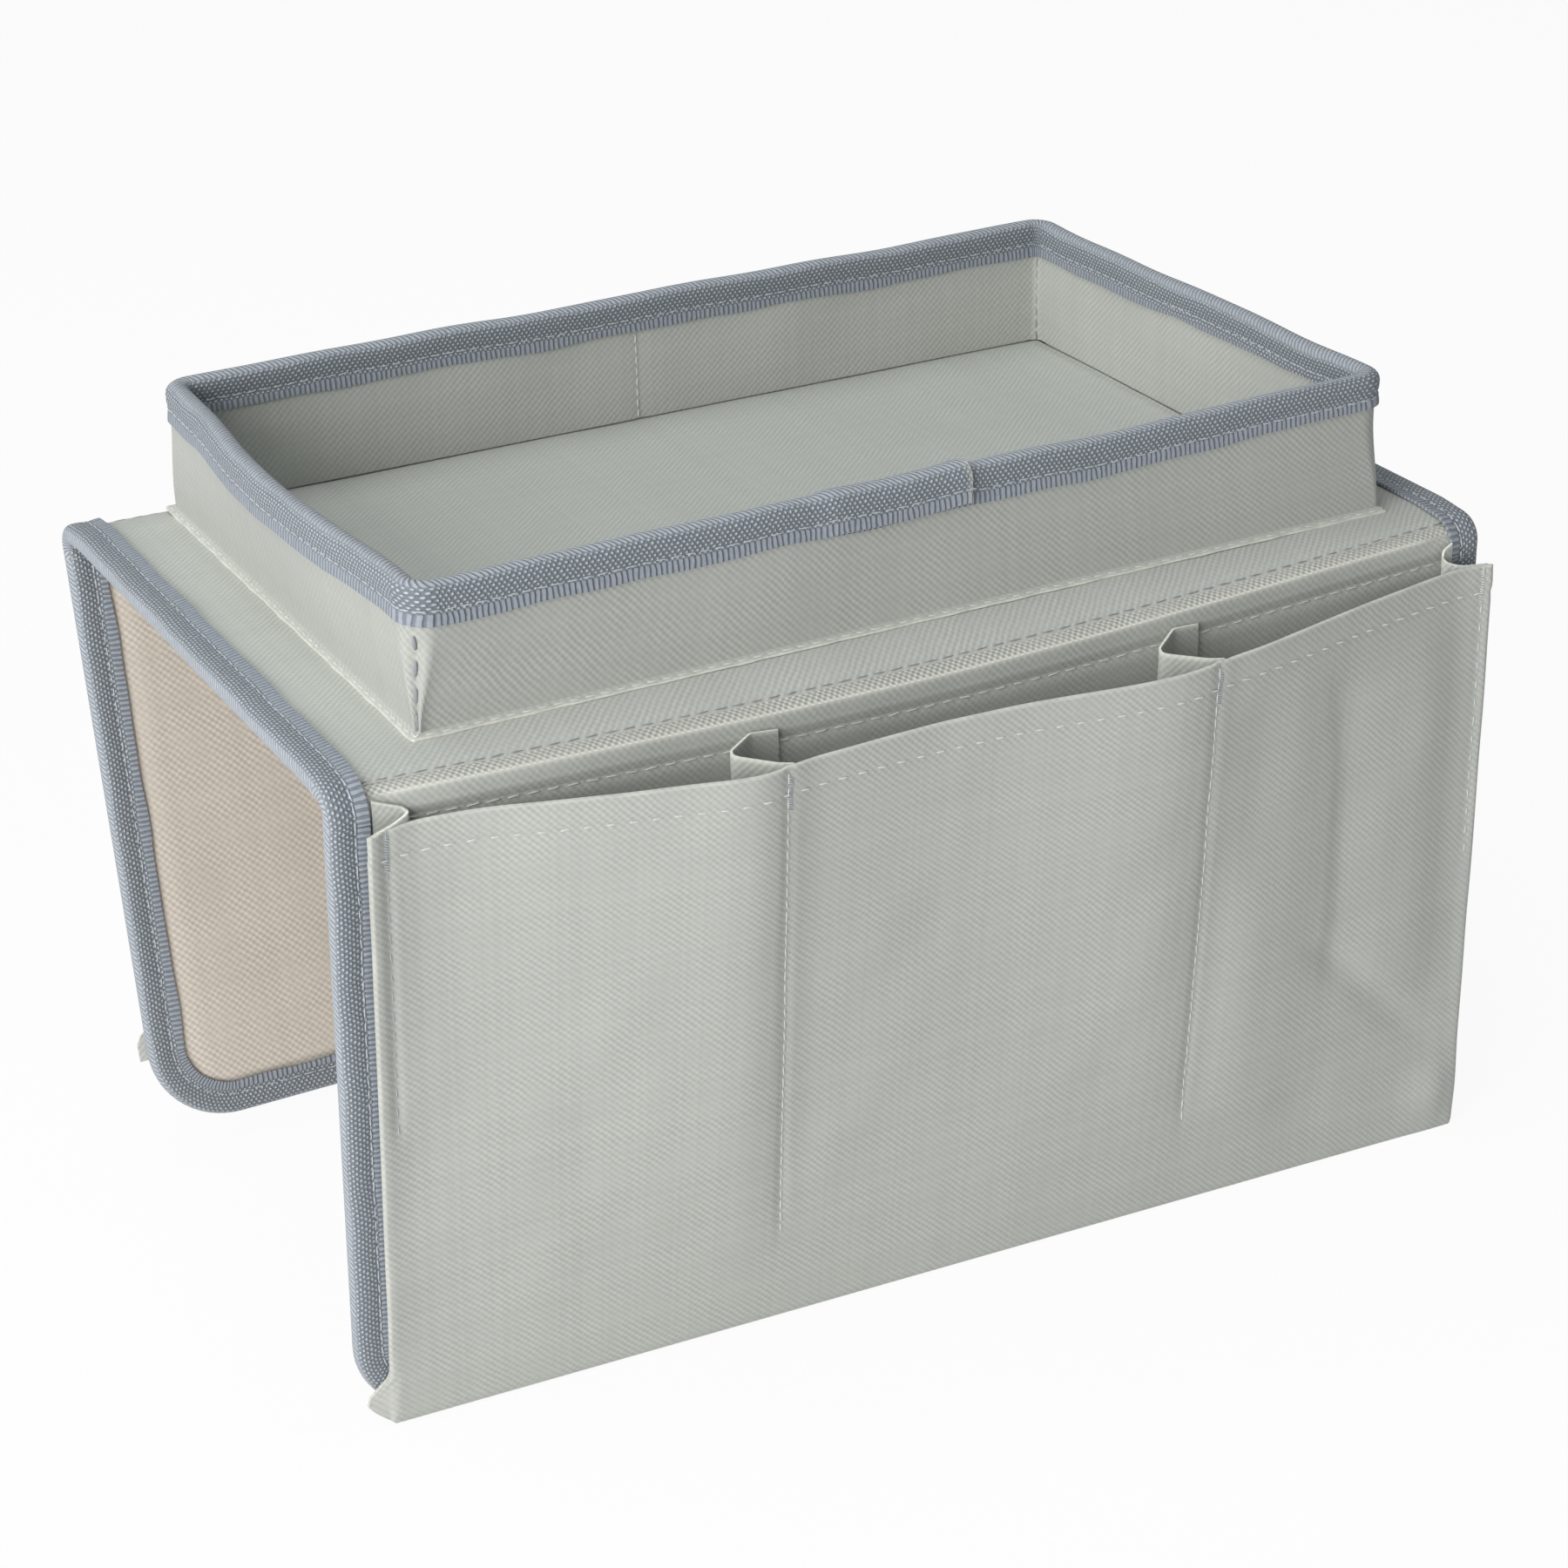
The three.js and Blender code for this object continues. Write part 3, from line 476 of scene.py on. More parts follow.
def link_mesh(name, points, faces, chart, finish, sharp=50.0, worn=None):
    """A mesh object with its map and its pale places of bare yarn and painted highlight, smooth but for its corners."""
    mesh = bpy.data.meshes.new(name)
    mesh.from_pydata([tuple(p) for p in points], [], faces)
    layer = mesh.uv_layers.new(name="weave")
    corner = np.empty(len(mesh.loops), np.int32)
    mesh.loops.foreach_get("vertex_index", corner)
    layer.data.foreach_set("uv", chart[corner].astype(np.float32).ravel())
    if worn is not None:
        mesh.attributes.new("worn", "FLOAT", "POINT").data.foreach_set("value", worn.astype(np.float32).ravel())
    mesh.materials.append(FINISHES[finish])
    mesh.shade_smooth()
    mesh.set_sharp_from_angle(angle=math.radians(sharp))
    return link_object(name, mesh)


def link_object(name, data):
    """A new object in the scene."""
    item = bpy.data.objects.new(name, data)
    bpy.context.scene.collection.objects.link(item)
    return item


def grid_faces(rows, columns, first=0, turned=False):
    """Faces of a grid of points."""
    place = first + np.arange(rows * columns).reshape(rows, columns)
    quads = np.stack([place[:-1, :-1], place[:-1, 1:], place[1:, 1:], place[1:, :-1]], -1).reshape(-1, 4)
    return [tuple(q[::-1]) if turned else tuple(q) for q in quads.tolist()]


def cloth_piece(name, points, chart, thickness, facing, finish, worn=0.0):
    """A sheet of cloth whose face lies at a grid of points and looks the way of facing."""
    rows, columns = points.shape[:2]
    worn = np.broadcast_to(worn, (rows, columns))
    normal = unit(np.cross(np.gradient(points, axis=1), np.gradient(points, axis=0)))
    if np.sum(normal * facing) < 0:
        points, chart, normal, worn = points[:, ::-1], chart[:, ::-1], -normal[:, ::-1], worn[:, ::-1]
    count = rows * columns
    both = np.concatenate([points.reshape(-1, 3), (points - normal * thickness).reshape(-1, 3)])
    faces = grid_faces(rows, columns) + grid_faces(rows, columns, count, True)
    place = np.arange(count).reshape(rows, columns)
    rim = np.concatenate([place[0, :], place[1:, -1], place[-1, -2::-1], place[-2:0:-1, 0]])
    after = np.roll(rim, -1)
    faces += [(int(b), int(a), int(a) + count, int(b) + count) for a, b in zip(rim, after)]
    flat = chart.reshape(-1, 2)
    piece = link_mesh(name, both, faces, np.concatenate([flat, flat]), finish, worn=np.stack([worn, worn]))
    piece["cut"] = cut_size(chart)
    return piece


def cut_size(chart):
    """Width, length and area of a cut piece, from its map."""
    span = chart.reshape(-1, 2).max(0) - chart.reshape(-1, 2).min(0)
    first, second = chart[1:, 1:] - chart[:-1, :-1], chart[1:, :-1] - chart[:-1, 1:]
    area = np.abs(first[..., 0] * second[..., 1] - first[..., 1] * second[..., 0]).sum() / 2
    return [float(span[0]), float(span[1]), float(area)]


LEG_SHARES = np.array([1.0, 0.93, 0.84, 0.76, 0.70, 0.64, 0.58, 0.52, 0.44, 0.30, 0.12])
LEG_SEAM = 0.60  # place of a tape's stitches, as a share of its leg


def tape_profile(half, leg, tape, reach):
    """Outer and inner line of folded tape at each place along it: inward distance and height, (places, points)."""
    half, leg = half[:, None], leg[:, None]
    round_depth = 0.86 * half
    bend = round_depth - reach
    turn = np.radians(np.linspace(90.0, -90.0, 13))
    inward = bend + (leg - bend) * LEG_SHARES
    press = 0.34 * MM * hump(inward, LEG_SEAM * leg, 1.0 * MM) - 0.16 * MM * hump(inward, leg, 1.2 * MM)
    lines = []
    for skin in (0.0, tape):
        face = np.stack([inward, half - skin - press], -1)
        fold = np.stack([bend - (round_depth - skin) * np.cos(turn), (half - skin) * np.sin(turn)], -1)
        back = np.stack([inward[:, ::-1], -(half - skin - press[:, ::-1])], -1)
        lines.append(np.concatenate([face, fold, back], 1))
    return lines


def tape_piece(name, edge, inward, normal, along, half=None, leg=None, worn=None):
    """Tape folded over an edge: points on the edge's middle, and the ways into the cloth and out of its face."""
    size = sizes()
    count = len(edge)
    half = np.full(count, size.tape_half) if half is None else half
    leg = size.tape_leg + 0.35 * MM * wander(along, 3, 47 * MM) if leg is None else leg
    outer, inner = tape_profile(half, leg, size.tape, size.tape_reach)
    ring = np.concatenate([outer, inner[:, ::-1]], 1)
    width = ring.shape[1]
    points = edge[:, None] + ring[..., :1] * inward[:, None] + ring[..., 1:] * normal[:, None]
    run = run_along(outer)
    chart = together(along[:, None], np.concatenate([run, run[:, ::-1]], 1))
    place = np.arange(count * width).reshape(count, width)
    turn = np.roll(place, -1, 1)
    quads = np.stack([place[:-1], turn[:-1], turn[1:], place[1:]], -1).reshape(-1, 4)
    middle = points[count // 2]
    way = np.cross(middle[1] - middle[0], points[min(count // 2 + 1, count - 1)][0] - middle[0])
    inside_out = np.dot(way, normal[count // 2]) < 0
    faces = [tuple(q[::-1]) if inside_out else tuple(q) for q in quads.tolist()]
    for row, first in ((place[0], True), (place[-1], False)):
        cap = [(row[i], row[i + 1], row[width - 2 - i], row[width - 1 - i]) for i in range(width // 2 - 1)]
        faces += [tuple(int(v) for v in (q[::-1] if first ^ inside_out else q)) for q in cap]
    worn = None if worn is None else np.repeat(worn[:, None], width, 1)
    piece = link_mesh(name, points.reshape(-1, 3), faces, chart.reshape(-1, 2), "tape", 60.0, worn)
    length = float(along[-1] - along[0])
    piece["cut"] = [float(run[:, -1].mean()), length, float(run[:, -1].mean()) * length]
    return piece


def settle(piece, body, slot, *nodes, held="stretched", rests_on=(), flat=True):
    """Gives a finished piece its body, or, for two bodies that it lies between, only bakes its place; hides its nodes.
    Its slot and its flat size are not used.
    """
    if isinstance(body, str):
        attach(piece, body)
    else:
        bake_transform(piece)
    if nodes:
        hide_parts(*nodes)
    return piece


STITCHES = {}
TAPE_STITCH = {"pitch": 0.8, "length": 0.9, "width": 0.75, "finish": "thread_soft"}


def stitch_row(body, points, normals, pitch=1.0, length=1.0, turn=0.0, width=1.0, finish="thread"):
    """Keeps a row of stitches for a body's thread, sized as shares of the usual pitch, length and thickness."""
    points = np.asarray(points, float)
    normals = np.broadcast_to(np.asarray(normals, float), points.shape)
    STITCHES.setdefault((body, finish), []).append((points, normals, pitch, length, turn, width))


def tape_stitches(body, edge, inward, normal, half, faces=(1.0, -1.0)):
    """Keeps a row of stitches along each leg of a tape."""
    for face in faces:
        row = edge + inward * LEG_SEAM * sizes().tape_leg + face * normal * (half - 0.25 * MM)
        stitch_row(body, row, face * normal, **TAPE_STITCH)


# Places on the flaps and the folds


def flap_twist(side, x, v):
    """How far a place of the flap stands out from the flap's mean plane."""
    if side == "rear":
        return 0.0 * v
    return v * np.tan(sizes().twist * x / HALF_LENGTH)


FRONT_SAG = (
    (-156, 1.0), (-145, 1.6), (-120, 2.8), (-90, 4.1), (-50, 5.6), (0, 6.4), (40, 5.9), (80, 4.4), (114, 2.8),
    (145, 1.6), (156, 1.0))


def edge_sag(side, x):
    """How far the long edge between the top and a flap hangs below its two ends."""
    if side == "front":
        return soft_line(FRONT_SAG, x, 10 * MM)
    return 1.1 * MM + 1.6 * MM * (1.0 - np.minimum(np.abs(x) / (165 * MM), 1.0) ** 2.2)


def top_sag(x, y):
    """How far the top panel hangs down towards its two long edges."""
    return edge_sag("front", x) * ease(*SAG_REACH, -y) + edge_sag("rear", -x) * ease(*SAG_REACH, y)


def to_side(side, x, y, z):
    """A place given for the front, turned round to the rear where the side is the rear."""
    turn = -1.0 if side == "rear" else 1.0
    return together(turn * x, turn * y, z)


def on_flap(side, x, v, n):
    """Places on a flap: x along the saddle, v down from the hinge line, n outwards from it."""
    lean = LEAN[side]
    out = n + flap_twist(side, x, v)
    y = -HINGE_Y + v * math.sin(lean) - out * math.cos(lean)
    sag = edge_sag(side, x) * (1.0 - ease(0.0, FLAP_SAG_DEPTH, v))
    return to_side(side, x, y, HINGE_Z - v * math.cos(lean) - out * math.sin(lean) - sag)


def flap_out(side):
    """The way out of a flap's face."""
    return to_side(side, 0.0, -math.cos(LEAN[side]), -math.sin(LEAN[side]))


def flap_half_width(side, v):
    """Half the width of a flap's cloth at a depth, less in the rounded corners."""
    radius = sizes().hem_corner
    below = np.clip(v - (HEM_DROP[side] - radius), 0.0, radius)
    return HALF_LENGTH - radius + np.sqrt(np.maximum(radius**2 - below**2, 0.0))


def edge_gap(side, x, v):
    """Distance of a place on a flap from its bound edge."""
    radius, drop = sizes().hem_corner, HEM_DROP[side]
    over_x, over_v = np.abs(x) - (HALF_LENGTH - radius), v - (drop - radius)
    straight = np.minimum(HALF_LENGTH - np.abs(x), drop - v)
    return np.where((over_x > 0) & (over_v > 0), radius - np.hypot(over_x, over_v), straight)


def under_tape(gap):
    """How far the tape presses a lining in, by the distance from the bound edge."""
    leg = sizes().tape_leg
    return 1.2 * MM * (1.0 - ease(leg - 0.4 * MM, leg + 2.2 * MM, gap))


def seam_places():
    """Places along the rows of stitches beside the folds."""
    return steps(SEAM_INSET - HALF_LENGTH, HALF_LENGTH - SEAM_INSET, 10 * MM)


SEAM_TUCK = 1.1 * MM  # how far a fold's cover reaches in under the top's row of stitches
FOLD_SPAN = 92.0  # the turn in degrees that the next three are given for
FOLD_SHAPE = (
    (0, 0.0), (20, 0.0), (29, 0.06), (42, 0.52), (50, 1.1), (53, 1.36), (56, 1.06), (61, 0.73), (70, 0.31), (80, 0.06),
    (92, 0.0))
CREASE = 53.0
CREASE_PLACES = (50.0, 52.0, 53.0, 54.0, 56.0)


def fold_line(side, sewn=False):
    """The run over a fold: y and z of its foot, turn of its way out, distance along it and depth on the flap.

    The cover's run is sewn, so it starts at the top's row of stitches and not on the top.
    """
    lean = LEAN[side]
    sweep = math.pi / 2 + lean
    tuck = SEAM_TUCK / FOLD_RADIUS
    first = math.asin((TOP_STITCH - HINGE_Y) / FOLD_RADIUS) - tuck if sewn else 0.0
    bend = np.radians(np.unique(np.concatenate([np.linspace(0.0, FOLD_SPAN, 24), CREASE_PLACES])))
    bend = bend * sweep / bend[-1]
    bend = np.concatenate([[first], bend[bend > first + 0.01]])
    if sewn:
        bend = np.unique(np.concatenate([bend, first + tuck * np.array([0.5, 0.9, 1.1])]))
    tail = [] if sewn else [FOLD_TAIL]
    none = np.zeros(len(tail))
    turn = np.concatenate([none, bend, [sweep]])
    back = np.concatenate([tail, 0 * bend, [0.0]])
    down = np.concatenate([none, 0 * bend, [FOLD_TAIL]])
    foot_y = -HINGE_Y + back + down * math.sin(lean)
    foot_z = HINGE_Z - down * math.cos(lean)
    along = FOLD_RADIUS * (turn - first) + sum(tail) - back + down
    return foot_y, foot_z, turn, along, down


def fold_turn(degrees, turn):
    """A turn that is given for the usual span, on a fold's own run."""
    return np.radians(degrees) * turn[-1] / math.radians(FOLD_SPAN)


def on_fold(side, x, r, line):
    """Places over a fold at a distance from its hinge line, rows along the fold's run."""
    foot_y, foot_z, turn, _, down = line
    reach = FOLD_RADIUS * np.sin(np.minimum(turn, math.pi / 2)) - foot_y
    share = ease(*SAG_REACH, reach) * (1.0 - ease(0.0, FLAP_SAG_DEPTH, down))
    out = r + flap_twist(side, x, down[:, None])
    y = foot_y[:, None] - out * np.sin(turn)[:, None]
    z = foot_z[:, None] + out * np.cos(turn)[:, None] - edge_sag(side, x) * share[:, None]
    return to_side(side, x, y, z)


def fold_out(side, x, line):
    """The ways out of a fold's face."""
    return on_fold(side, x, FOLD_RADIUS + 1 * MM, line) - on_fold(side, x, FOLD_RADIUS, line)


def fold_bodies(side, first=0.0):
    """The two bodies of a fold, with the first and the last point of its bend."""
    y, z = -HINGE_Y - FOLD_RADIUS * math.sin(first), HINGE_Z + FOLD_RADIUS * math.cos(first)
    return "saddle", f"{side}_flap", tuple(to_side(side, 0.0, y, z)), tuple(on_flap(side, 0.0, 0.0, FOLD_RADIUS))


# Operators


class ORGANIZER_OT_finishes(bpy.types.Operator):
    """Make the cloth, tape, thread and board finishes."""

    bl_idname = "organizer.finishes"
    bl_label = "Finishes"

    def execute(self, context):
        make_finishes()
        for name, node in frame["nodes"].items():
            node.data.materials.clear()
            node.data.materials.append(FINISHES["board" if "board" in name else "sage"])
        return {"FINISHED"}


class ORGANIZER_OT_top(bpy.types.Operator):
    """Make the top's board, cover, lining and end tapes."""

    bl_idname = "organizer.top"
    bl_label = "Top panel"

    def execute(self, context):
        board = self.board()
        cover = self.cover(board)
        self.lining(board)
        self.tapes(cover)
        for way in (-1.0, 1.0):
            places = seam_places()
            line = np.full_like(places, way * (TOP_STITCH - 0.5 * MM))
            row = together(places, line, TOP_LEVEL - 0.5 * MM - top_sag(places, line))
            stitch_row("saddle", row, UP, width=0.65, finish="thread_dark")
        return {"FINISHED"}

    def board(self):
        """The board, which hangs with the cloth."""
        low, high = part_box("top_board")
        x, y = np.meshgrid(np.linspace(low.x, high.x, 60), np.linspace(low.y, high.y, 60))
        points = together(x, y, high.z - top_sag(x, y))
        board = cloth_piece("top_board_panel", points, together(x, y), high.z - low.z, UP, "board")
        return settle(board, "saddle", "board", "top_board", flat=False)

    def cover(self, board):
        """The cover cloth between its two rows of stitches."""
        fine = [(line, 5 * MM, 0.6 * MM) for line in (-TOP_STITCH, TOP_STITCH)]
        deep = steps(-TOP_STITCH, TOP_STITCH, CLOSE_GRID, *fine)
        x, y = np.meshgrid(steps(-HALF_LENGTH, HALF_LENGTH, GRID), deep)
        swell = 0.35 * MM * wander(x, 1, 90 * MM) * wander(y + 0.3 * x, 2, 70 * MM)
        pinch = SEAM_PINCH * (hump(y, TOP_STITCH, SEAM_WIDTH) + hump(y, -TOP_STITCH, SEAM_WIDTH))
        over = FOLD_RADIUS - np.sqrt(FOLD_RADIUS**2 - np.maximum(np.abs(y) - HINGE_Y, 0.0) ** 2)
        points = together(x, y, TOP_LEVEL + swell - pinch - over - top_sag(x, y))
        cover = cloth_piece("top_cover_cloth", points, together(x, y), sizes().cloth, UP, "sage_turned")
        return settle(cover, "saddle", "sage_cloth", "top_cover", rests_on=[board.name])

    def lining(self, board):
        """The lining, pressed in under the end tapes."""
        x, y = np.meshgrid(steps(-HALF_LENGTH, HALF_LENGTH, GRID), steps(-TOP_EDGE, TOP_EDGE, CLOSE_GRID))
        level = 0.25 * MM * wander(x, 4, 80 * MM) * wander(y, 5, 60 * MM) + 0.1 * MM
        points = together(x, y, level + under_tape(HALF_LENGTH - np.abs(x)) - top_sag(x, y))
        lining = cloth_piece("top_lining_cloth", points, together(x, y), sizes().lining, (0.0, 0.0, -1.0), "lining")
        settle(lining, "saddle", "lining_cloth", "top_lining", rests_on=[board.name])

    def tapes(self, cover):
        """The tapes over the left and the right end."""
        half = sizes().tape_half
        run = steps(-TOP_EDGE, TOP_EDGE, GRID)
        for name, end in ENDS:
            x = np.full_like(run, end * HALF_LENGTH)
            edge = together(x, run, half - top_sag(x, run))
            inward = np.broadcast_to([-end, 0.0, 0.0], edge.shape)
            normal = np.broadcast_to(UP, edge.shape)
            tape = tape_piece(f"top_tape_{name}", edge, inward, normal, run)
            settle(tape, "saddle", "binding_tape", f"top_binding_{name}", held="folded", rests_on=[cover.name])
            tape_stitches("saddle", edge, inward, normal, half)


class ORGANIZER_OT_folds(bpy.types.Operator):
    """Make the cover, lining and tapes that bend between the top and the flaps."""

    bl_idname = "organizer.folds"
    bl_label = "Folds"

    def execute(self, context):
        x = steps(-HALF_LENGTH, HALF_LENGTH, GRID)[None]
        for side in SIDES:
            cover = self.cover(side, x)
            self.lining(side, x)
            self.tapes(side, cover)
        return {"FINISHED"}

    def cover(self, side, x):
        """The cover, pinched to a crease painted pale, partly as bare yarn and partly as a painted highlight, and
        stretched above it.
        """
        line = fold_line(side, sewn=True)
        turn, along = line[2][:, None], line[3][:, None]
        crease = fold_turn(CREASE, line[2])
        shape = np.array(FOLD_SHAPE)
        inside = 1.0 - ease(HALF_LENGTH - 18 * MM, HALF_LENGTH - 9.8 * MM, np.abs(x))
        puff = np.interp(turn, fold_turn(shape[:, 0], line[2]), shape[:, 1]) * MM * inside
        puff = puff + 0.12 * MM * np.sin(math.pi * along / along[-1]) * wander(x, 6, 40 * MM)
        pinch = SEAM_PINCH * (hump(along, SEAM_TUCK, SEAM_WIDTH) + hump(along, along[-1], SEAM_WIDTH))
        tucked = 1.1 * MM * ease(0.8 * SEAM_TUCK, 0.2 * SEAM_TUCK, along)
        points = on_fold(side, x, FOLD_RADIUS + puff - pinch - tucked, line)
        chart = together(x, SEAM_TUCK - TOP_STITCH - along)
        # Pale along the crease: partly bare yarn, partly a painted highlight where the bend meets the light.
        worn = 0.85 * hump(turn, crease, math.radians(4.0)) * inside
        cover = cloth_piece(f"{side}_fold_cloth", points, chart, sizes().cloth, fold_out(side, x, line), "sage", worn)
        cover.data.materials.append(FINISHES["sage_dots"])
        kinds = np.zeros(len(cover.data.polygons), np.int32)
        kinds[:(x.size - 1) * int(np.sum(turn < crease - 0.01))] = 1
        cover.data.polygons.foreach_set("material_index", kinds)
        bodies = fold_bodies(side, line[2][0])
        return settle(
            cover, bodies, "sage_cloth", f"{side}_fold_cover", held="folded", rests_on=["top_cover_cloth"])

    def lining(self, side, x):
        """The lining inside the bend."""
        line = fold_line(side)
        rise = np.sin(math.pi * line[3] / line[3][-1])[:, None] ** 0.6
        points = on_fold(side, x, -HINGE_Z + 3.3 * MM * rise, line)
        chart = together(x, -run_along(points[:, 0])[:, None])
        facing = -fold_out(side, x, line)
        lining = cloth_piece(f"{side}_fold_lining_cloth", points, chart, sizes().lining, facing, "lining")
        settle(
            lining, fold_bodies(side), "lining_cloth", f"{side}_fold_lining",
            held="folded", rests_on=["top_cover_cloth"])

    def tapes(self, side, cover):
        """The tapes over the fold's two ends, squeezed in the bend."""
        line = fold_line(side)
        turn, along = line[2:4]
        squeeze = 0.55 * MM * np.sin(math.pi * along / along[-1]) ** 2
        half = sizes().tape_half - squeeze
        middle = -HINGE_Z + sizes().tape_half + squeeze
        normal = to_side(side, 0.0, -np.sin(turn), np.cos(turn))
        for name, end in ENDS:
            edge = on_fold(side, np.array([[end * HALF_LENGTH]]), middle[:, None], line)[:, 0]
            inward = np.broadcast_to(to_side(side, -end, 0.0, 0.0), edge.shape)
            tape = tape_piece(f"{side}_fold_tape_{name}_band", edge, inward, normal, along, half=half)
            settle(
                tape, fold_bodies(side), "binding_tape", f"{side}_fold_tape_{name}",
                held="folded", rests_on=[cover.name])
            tape_stitches(f"{side}_fold", edge, inward, normal, half[:, None], faces=(1.0,))


class ORGANIZER_OT_flaps(bpy.types.Operator):
    """Make each flap's cover, board, lining and binding tape."""

    bl_idname = "organizer.flaps"
    bl_label = "Flaps"

    def execute(self, context):
        for side in SIDES:
            self.cloths(side)
            self.binding(side)
        return {"FINISHED"}

    def cloths(self, side):
        """Cover, lining and, in front, board of one flap."""
        size, body, drop, facing = sizes(), f"{side}_flap", HEM_DROP[side], flap_out(side)
        v = steps(FOLD_TAIL, drop, CLOSE_GRID, (FOLD_TAIL, 4 * MM, 0.6 * MM), (drop, 16 * MM, 0.8 * MM))[:, None]
        share = np.linspace(-1.0, 1.0, 101)[None]
        x = share * flap_half_width(side, v)
        chart = together(x, -TOP_EDGE - 13.4 * MM - v)
        swell = 0.4 * MM * wander(x, 7, 85 * MM) * wander(v, 8, 60 * MM)
        pinch = 0.55 * MM * hump(v, FOLD_TAIL, 1.3 * MM)
        points = on_flap(side, x, v, FOLD_RADIUS + swell - pinch)
        cover = cloth_piece(f"{side}_flap_cloth", points, chart, size.cloth, facing, "sage")
        settle(cover, body, "sage_cloth", f"{side}_cover", rests_on=[f"{side}_board"])
        dents = 0.7 * MM * wander(x + 0.4 * v, 9, 75 * MM) * wander(v - 0.2 * x, 10, 66 * MM)
        gap = edge_gap(side, x, v)
        inner = -HINGE_Z + np.abs(dents) * ease(8 * MM, 22 * MM, gap) + under_tape(gap)
        points = on_flap(side, x, v, inner)
        lining = cloth_piece(f"{side}_flap_lining_cloth", points, chart, size.lining, -facing, "lining")
        settle(lining, body, "lining_cloth", f"{side}_lining", rests_on=[f"{side}_board"])
        if side == "front":
            inset, thickness, face = 3.2 * MM, 1.6 * MM, 4.9 * MM
            depth = np.linspace(FOLD_TAIL + inset, drop - inset, 40)[:, None]
            wide = share * (flap_half_width(side, depth) - inset)
            points = on_flap(side, wide, depth, face)
            board = cloth_piece("front_flap_board", points, together(wide, -depth), thickness, facing, "board")
            settle(board, body, "board", "front_board", flat=False)
        row = on_flap(side, seam_places(), FOLD_TAIL + 0.4 * MM, FOLD_RADIUS - 0.1 * MM)
        stitch_row(body, row, facing, pitch=1.05, width=0.8)

    def binding(self, side):
        """Tape down one end, round the hem and up the other end of one flap."""
        size, body = sizes(), f"{side}_flap"
        drop, radius = HEM_DROP[side], size.hem_corner
        straight = steps(FOLD_TAIL, drop - radius, GRID)
        turn = np.linspace(0.0, math.pi / 2, 16)[1:]
        hem = steps(-HALF_LENGTH + radius, HALF_LENGTH - radius, GRID)[1:-1]
        left_x = np.concatenate([np.full_like(straight, -HALF_LENGTH), -HALF_LENGTH + radius * (1 - np.cos(turn))])
        left_v = np.concatenate([straight, drop - radius + radius * np.sin(turn)])
        left_in = np.concatenate([np.tile([1.0, 0.0], (len(straight), 1)), together(np.cos(turn), -np.sin(turn))])
        x = np.concatenate([left_x, hem, -left_x[::-1]])
        v = np.concatenate([left_v, np.full_like(hem, drop), left_v[::-1]])
        into = np.concatenate([left_in, np.tile([0.0, -1.0], (len(hem), 1)), left_in[::-1] * [-1.0, 1.0]]) * MM
        middle = -HINGE_Z + size.tape_half
        edge = on_flap(side, x, v, middle)
        inward = unit(on_flap(side, x + into[:, 0], v + into[:, 1], middle) - edge)
        normal = np.broadcast_to(flap_out(side), edge.shape)
        tape = tape_piece(f"{side}_flap_tape", edge, inward, normal, run_along(together(x, v)))
        settle(tape, body, "binding_tape", f"{side}_binding", held="folded", rests_on=[f"{side}_flap_cloth"])
        tape_stitches(body, edge, inward, normal, size.tape_half)


POCKET_ENDS = {"front": (-149 * MM, 156 * MM), "rear": (-153 * MM, 153 * MM)}
POCKET_LOW = {"front": 169.7 * MM, "rear": 144.6 * MM}  # depth of a panel's lower edge
POCKET_SEAT = 8.3 * MM  # how far out its lower edge lies
POCKET_HEM = 7.6 * MM  # from the mouth to the row of stitches of its hem
DIVIDERS = ((-51.5, -47.5), (64.5, 67.5))  # x of the dividers' seams at the mouth and low down, in mm
DIVIDER_LOW = {side: low - 29 * MM for side, low in POCKET_LOW.items()}  # depth at which they end
END_SEAM_LOW = {"front": 84 * MM, "rear": 72 * MM}  # depth at which the end seams end
PLEAT_SEAT = FOLD_RADIUS + 0.75 * MM  # how far out the pleats lie on the flap's cover
PLEAT_BACK = 1.3 * MM  # how far the pleats lie behind a panel's face
TACK = 9 * MM  # length of a bar tack
# Along the mouth, in mm: how far it stands out from the seat, and its depth below the hinge line
MOUTH_OUT = (
    (-149, 4.0), (-144, 2.0), (-138, 1.0), (-127, 1.9), (-111, 5.0), (-95, 8.0), (-79, 11.6), (-67, 14.4), (-58, 15.7),
    (-51, 15.0), (-40, 12.4), (-24, 11.6), (-9, 11.5), (8, 12.0), (24, 14.0), (40, 16.6), (53, 17.9), (65, 17.1),
    (82, 14.0), (97, 11.2), (109, 9.0), (123, 6.7), (138, 4.4), (149, 2.9), (156, 4.6))
MOUTH_DEPTH = (
    (-156, 3.8), (-149, 2.8), (-138, 1.8), (-120, 1.1), (-90, 1.3), (-54, 0.6), (5, -0.2), (64, 0.9), (120, 2.1),
    (140, 2.6), (151, 3.0), (156, 3.7))
# The front panel's lower left corner, in mm: height above the hem, and how far it reaches out past the end
EAR = ((0.0, 3.0, 6.5, 9.0, 11.0, 14.5), (-1.2, 2.0, 5.5, 5.4, 3.5, 0.0))
HEM_STITCH = {"pitch": 1.14, "length": 0.78, "width": 1.15}
DIVIDER_STITCH = {"pitch": 0.74, "length": 0.9, "width": 0.75}
DIVIDER_TACK = {"pitch": 0.13, "length": 0.55, "turn": 1.25, "width": 0.8, "finish": "thread_soft"}
END_STITCH = {"pitch": 1.1, "length": 0.8, "width": 0.6}
END_TACK = {"pitch": 0.14, "length": 0.5, "turn": 1.2, "width": 0.8}


def mouth_v(x):
    """Depth of the pocket mouth's edge on its flap."""
    return soft_line(MOUTH_DEPTH, x, 5 * MM)


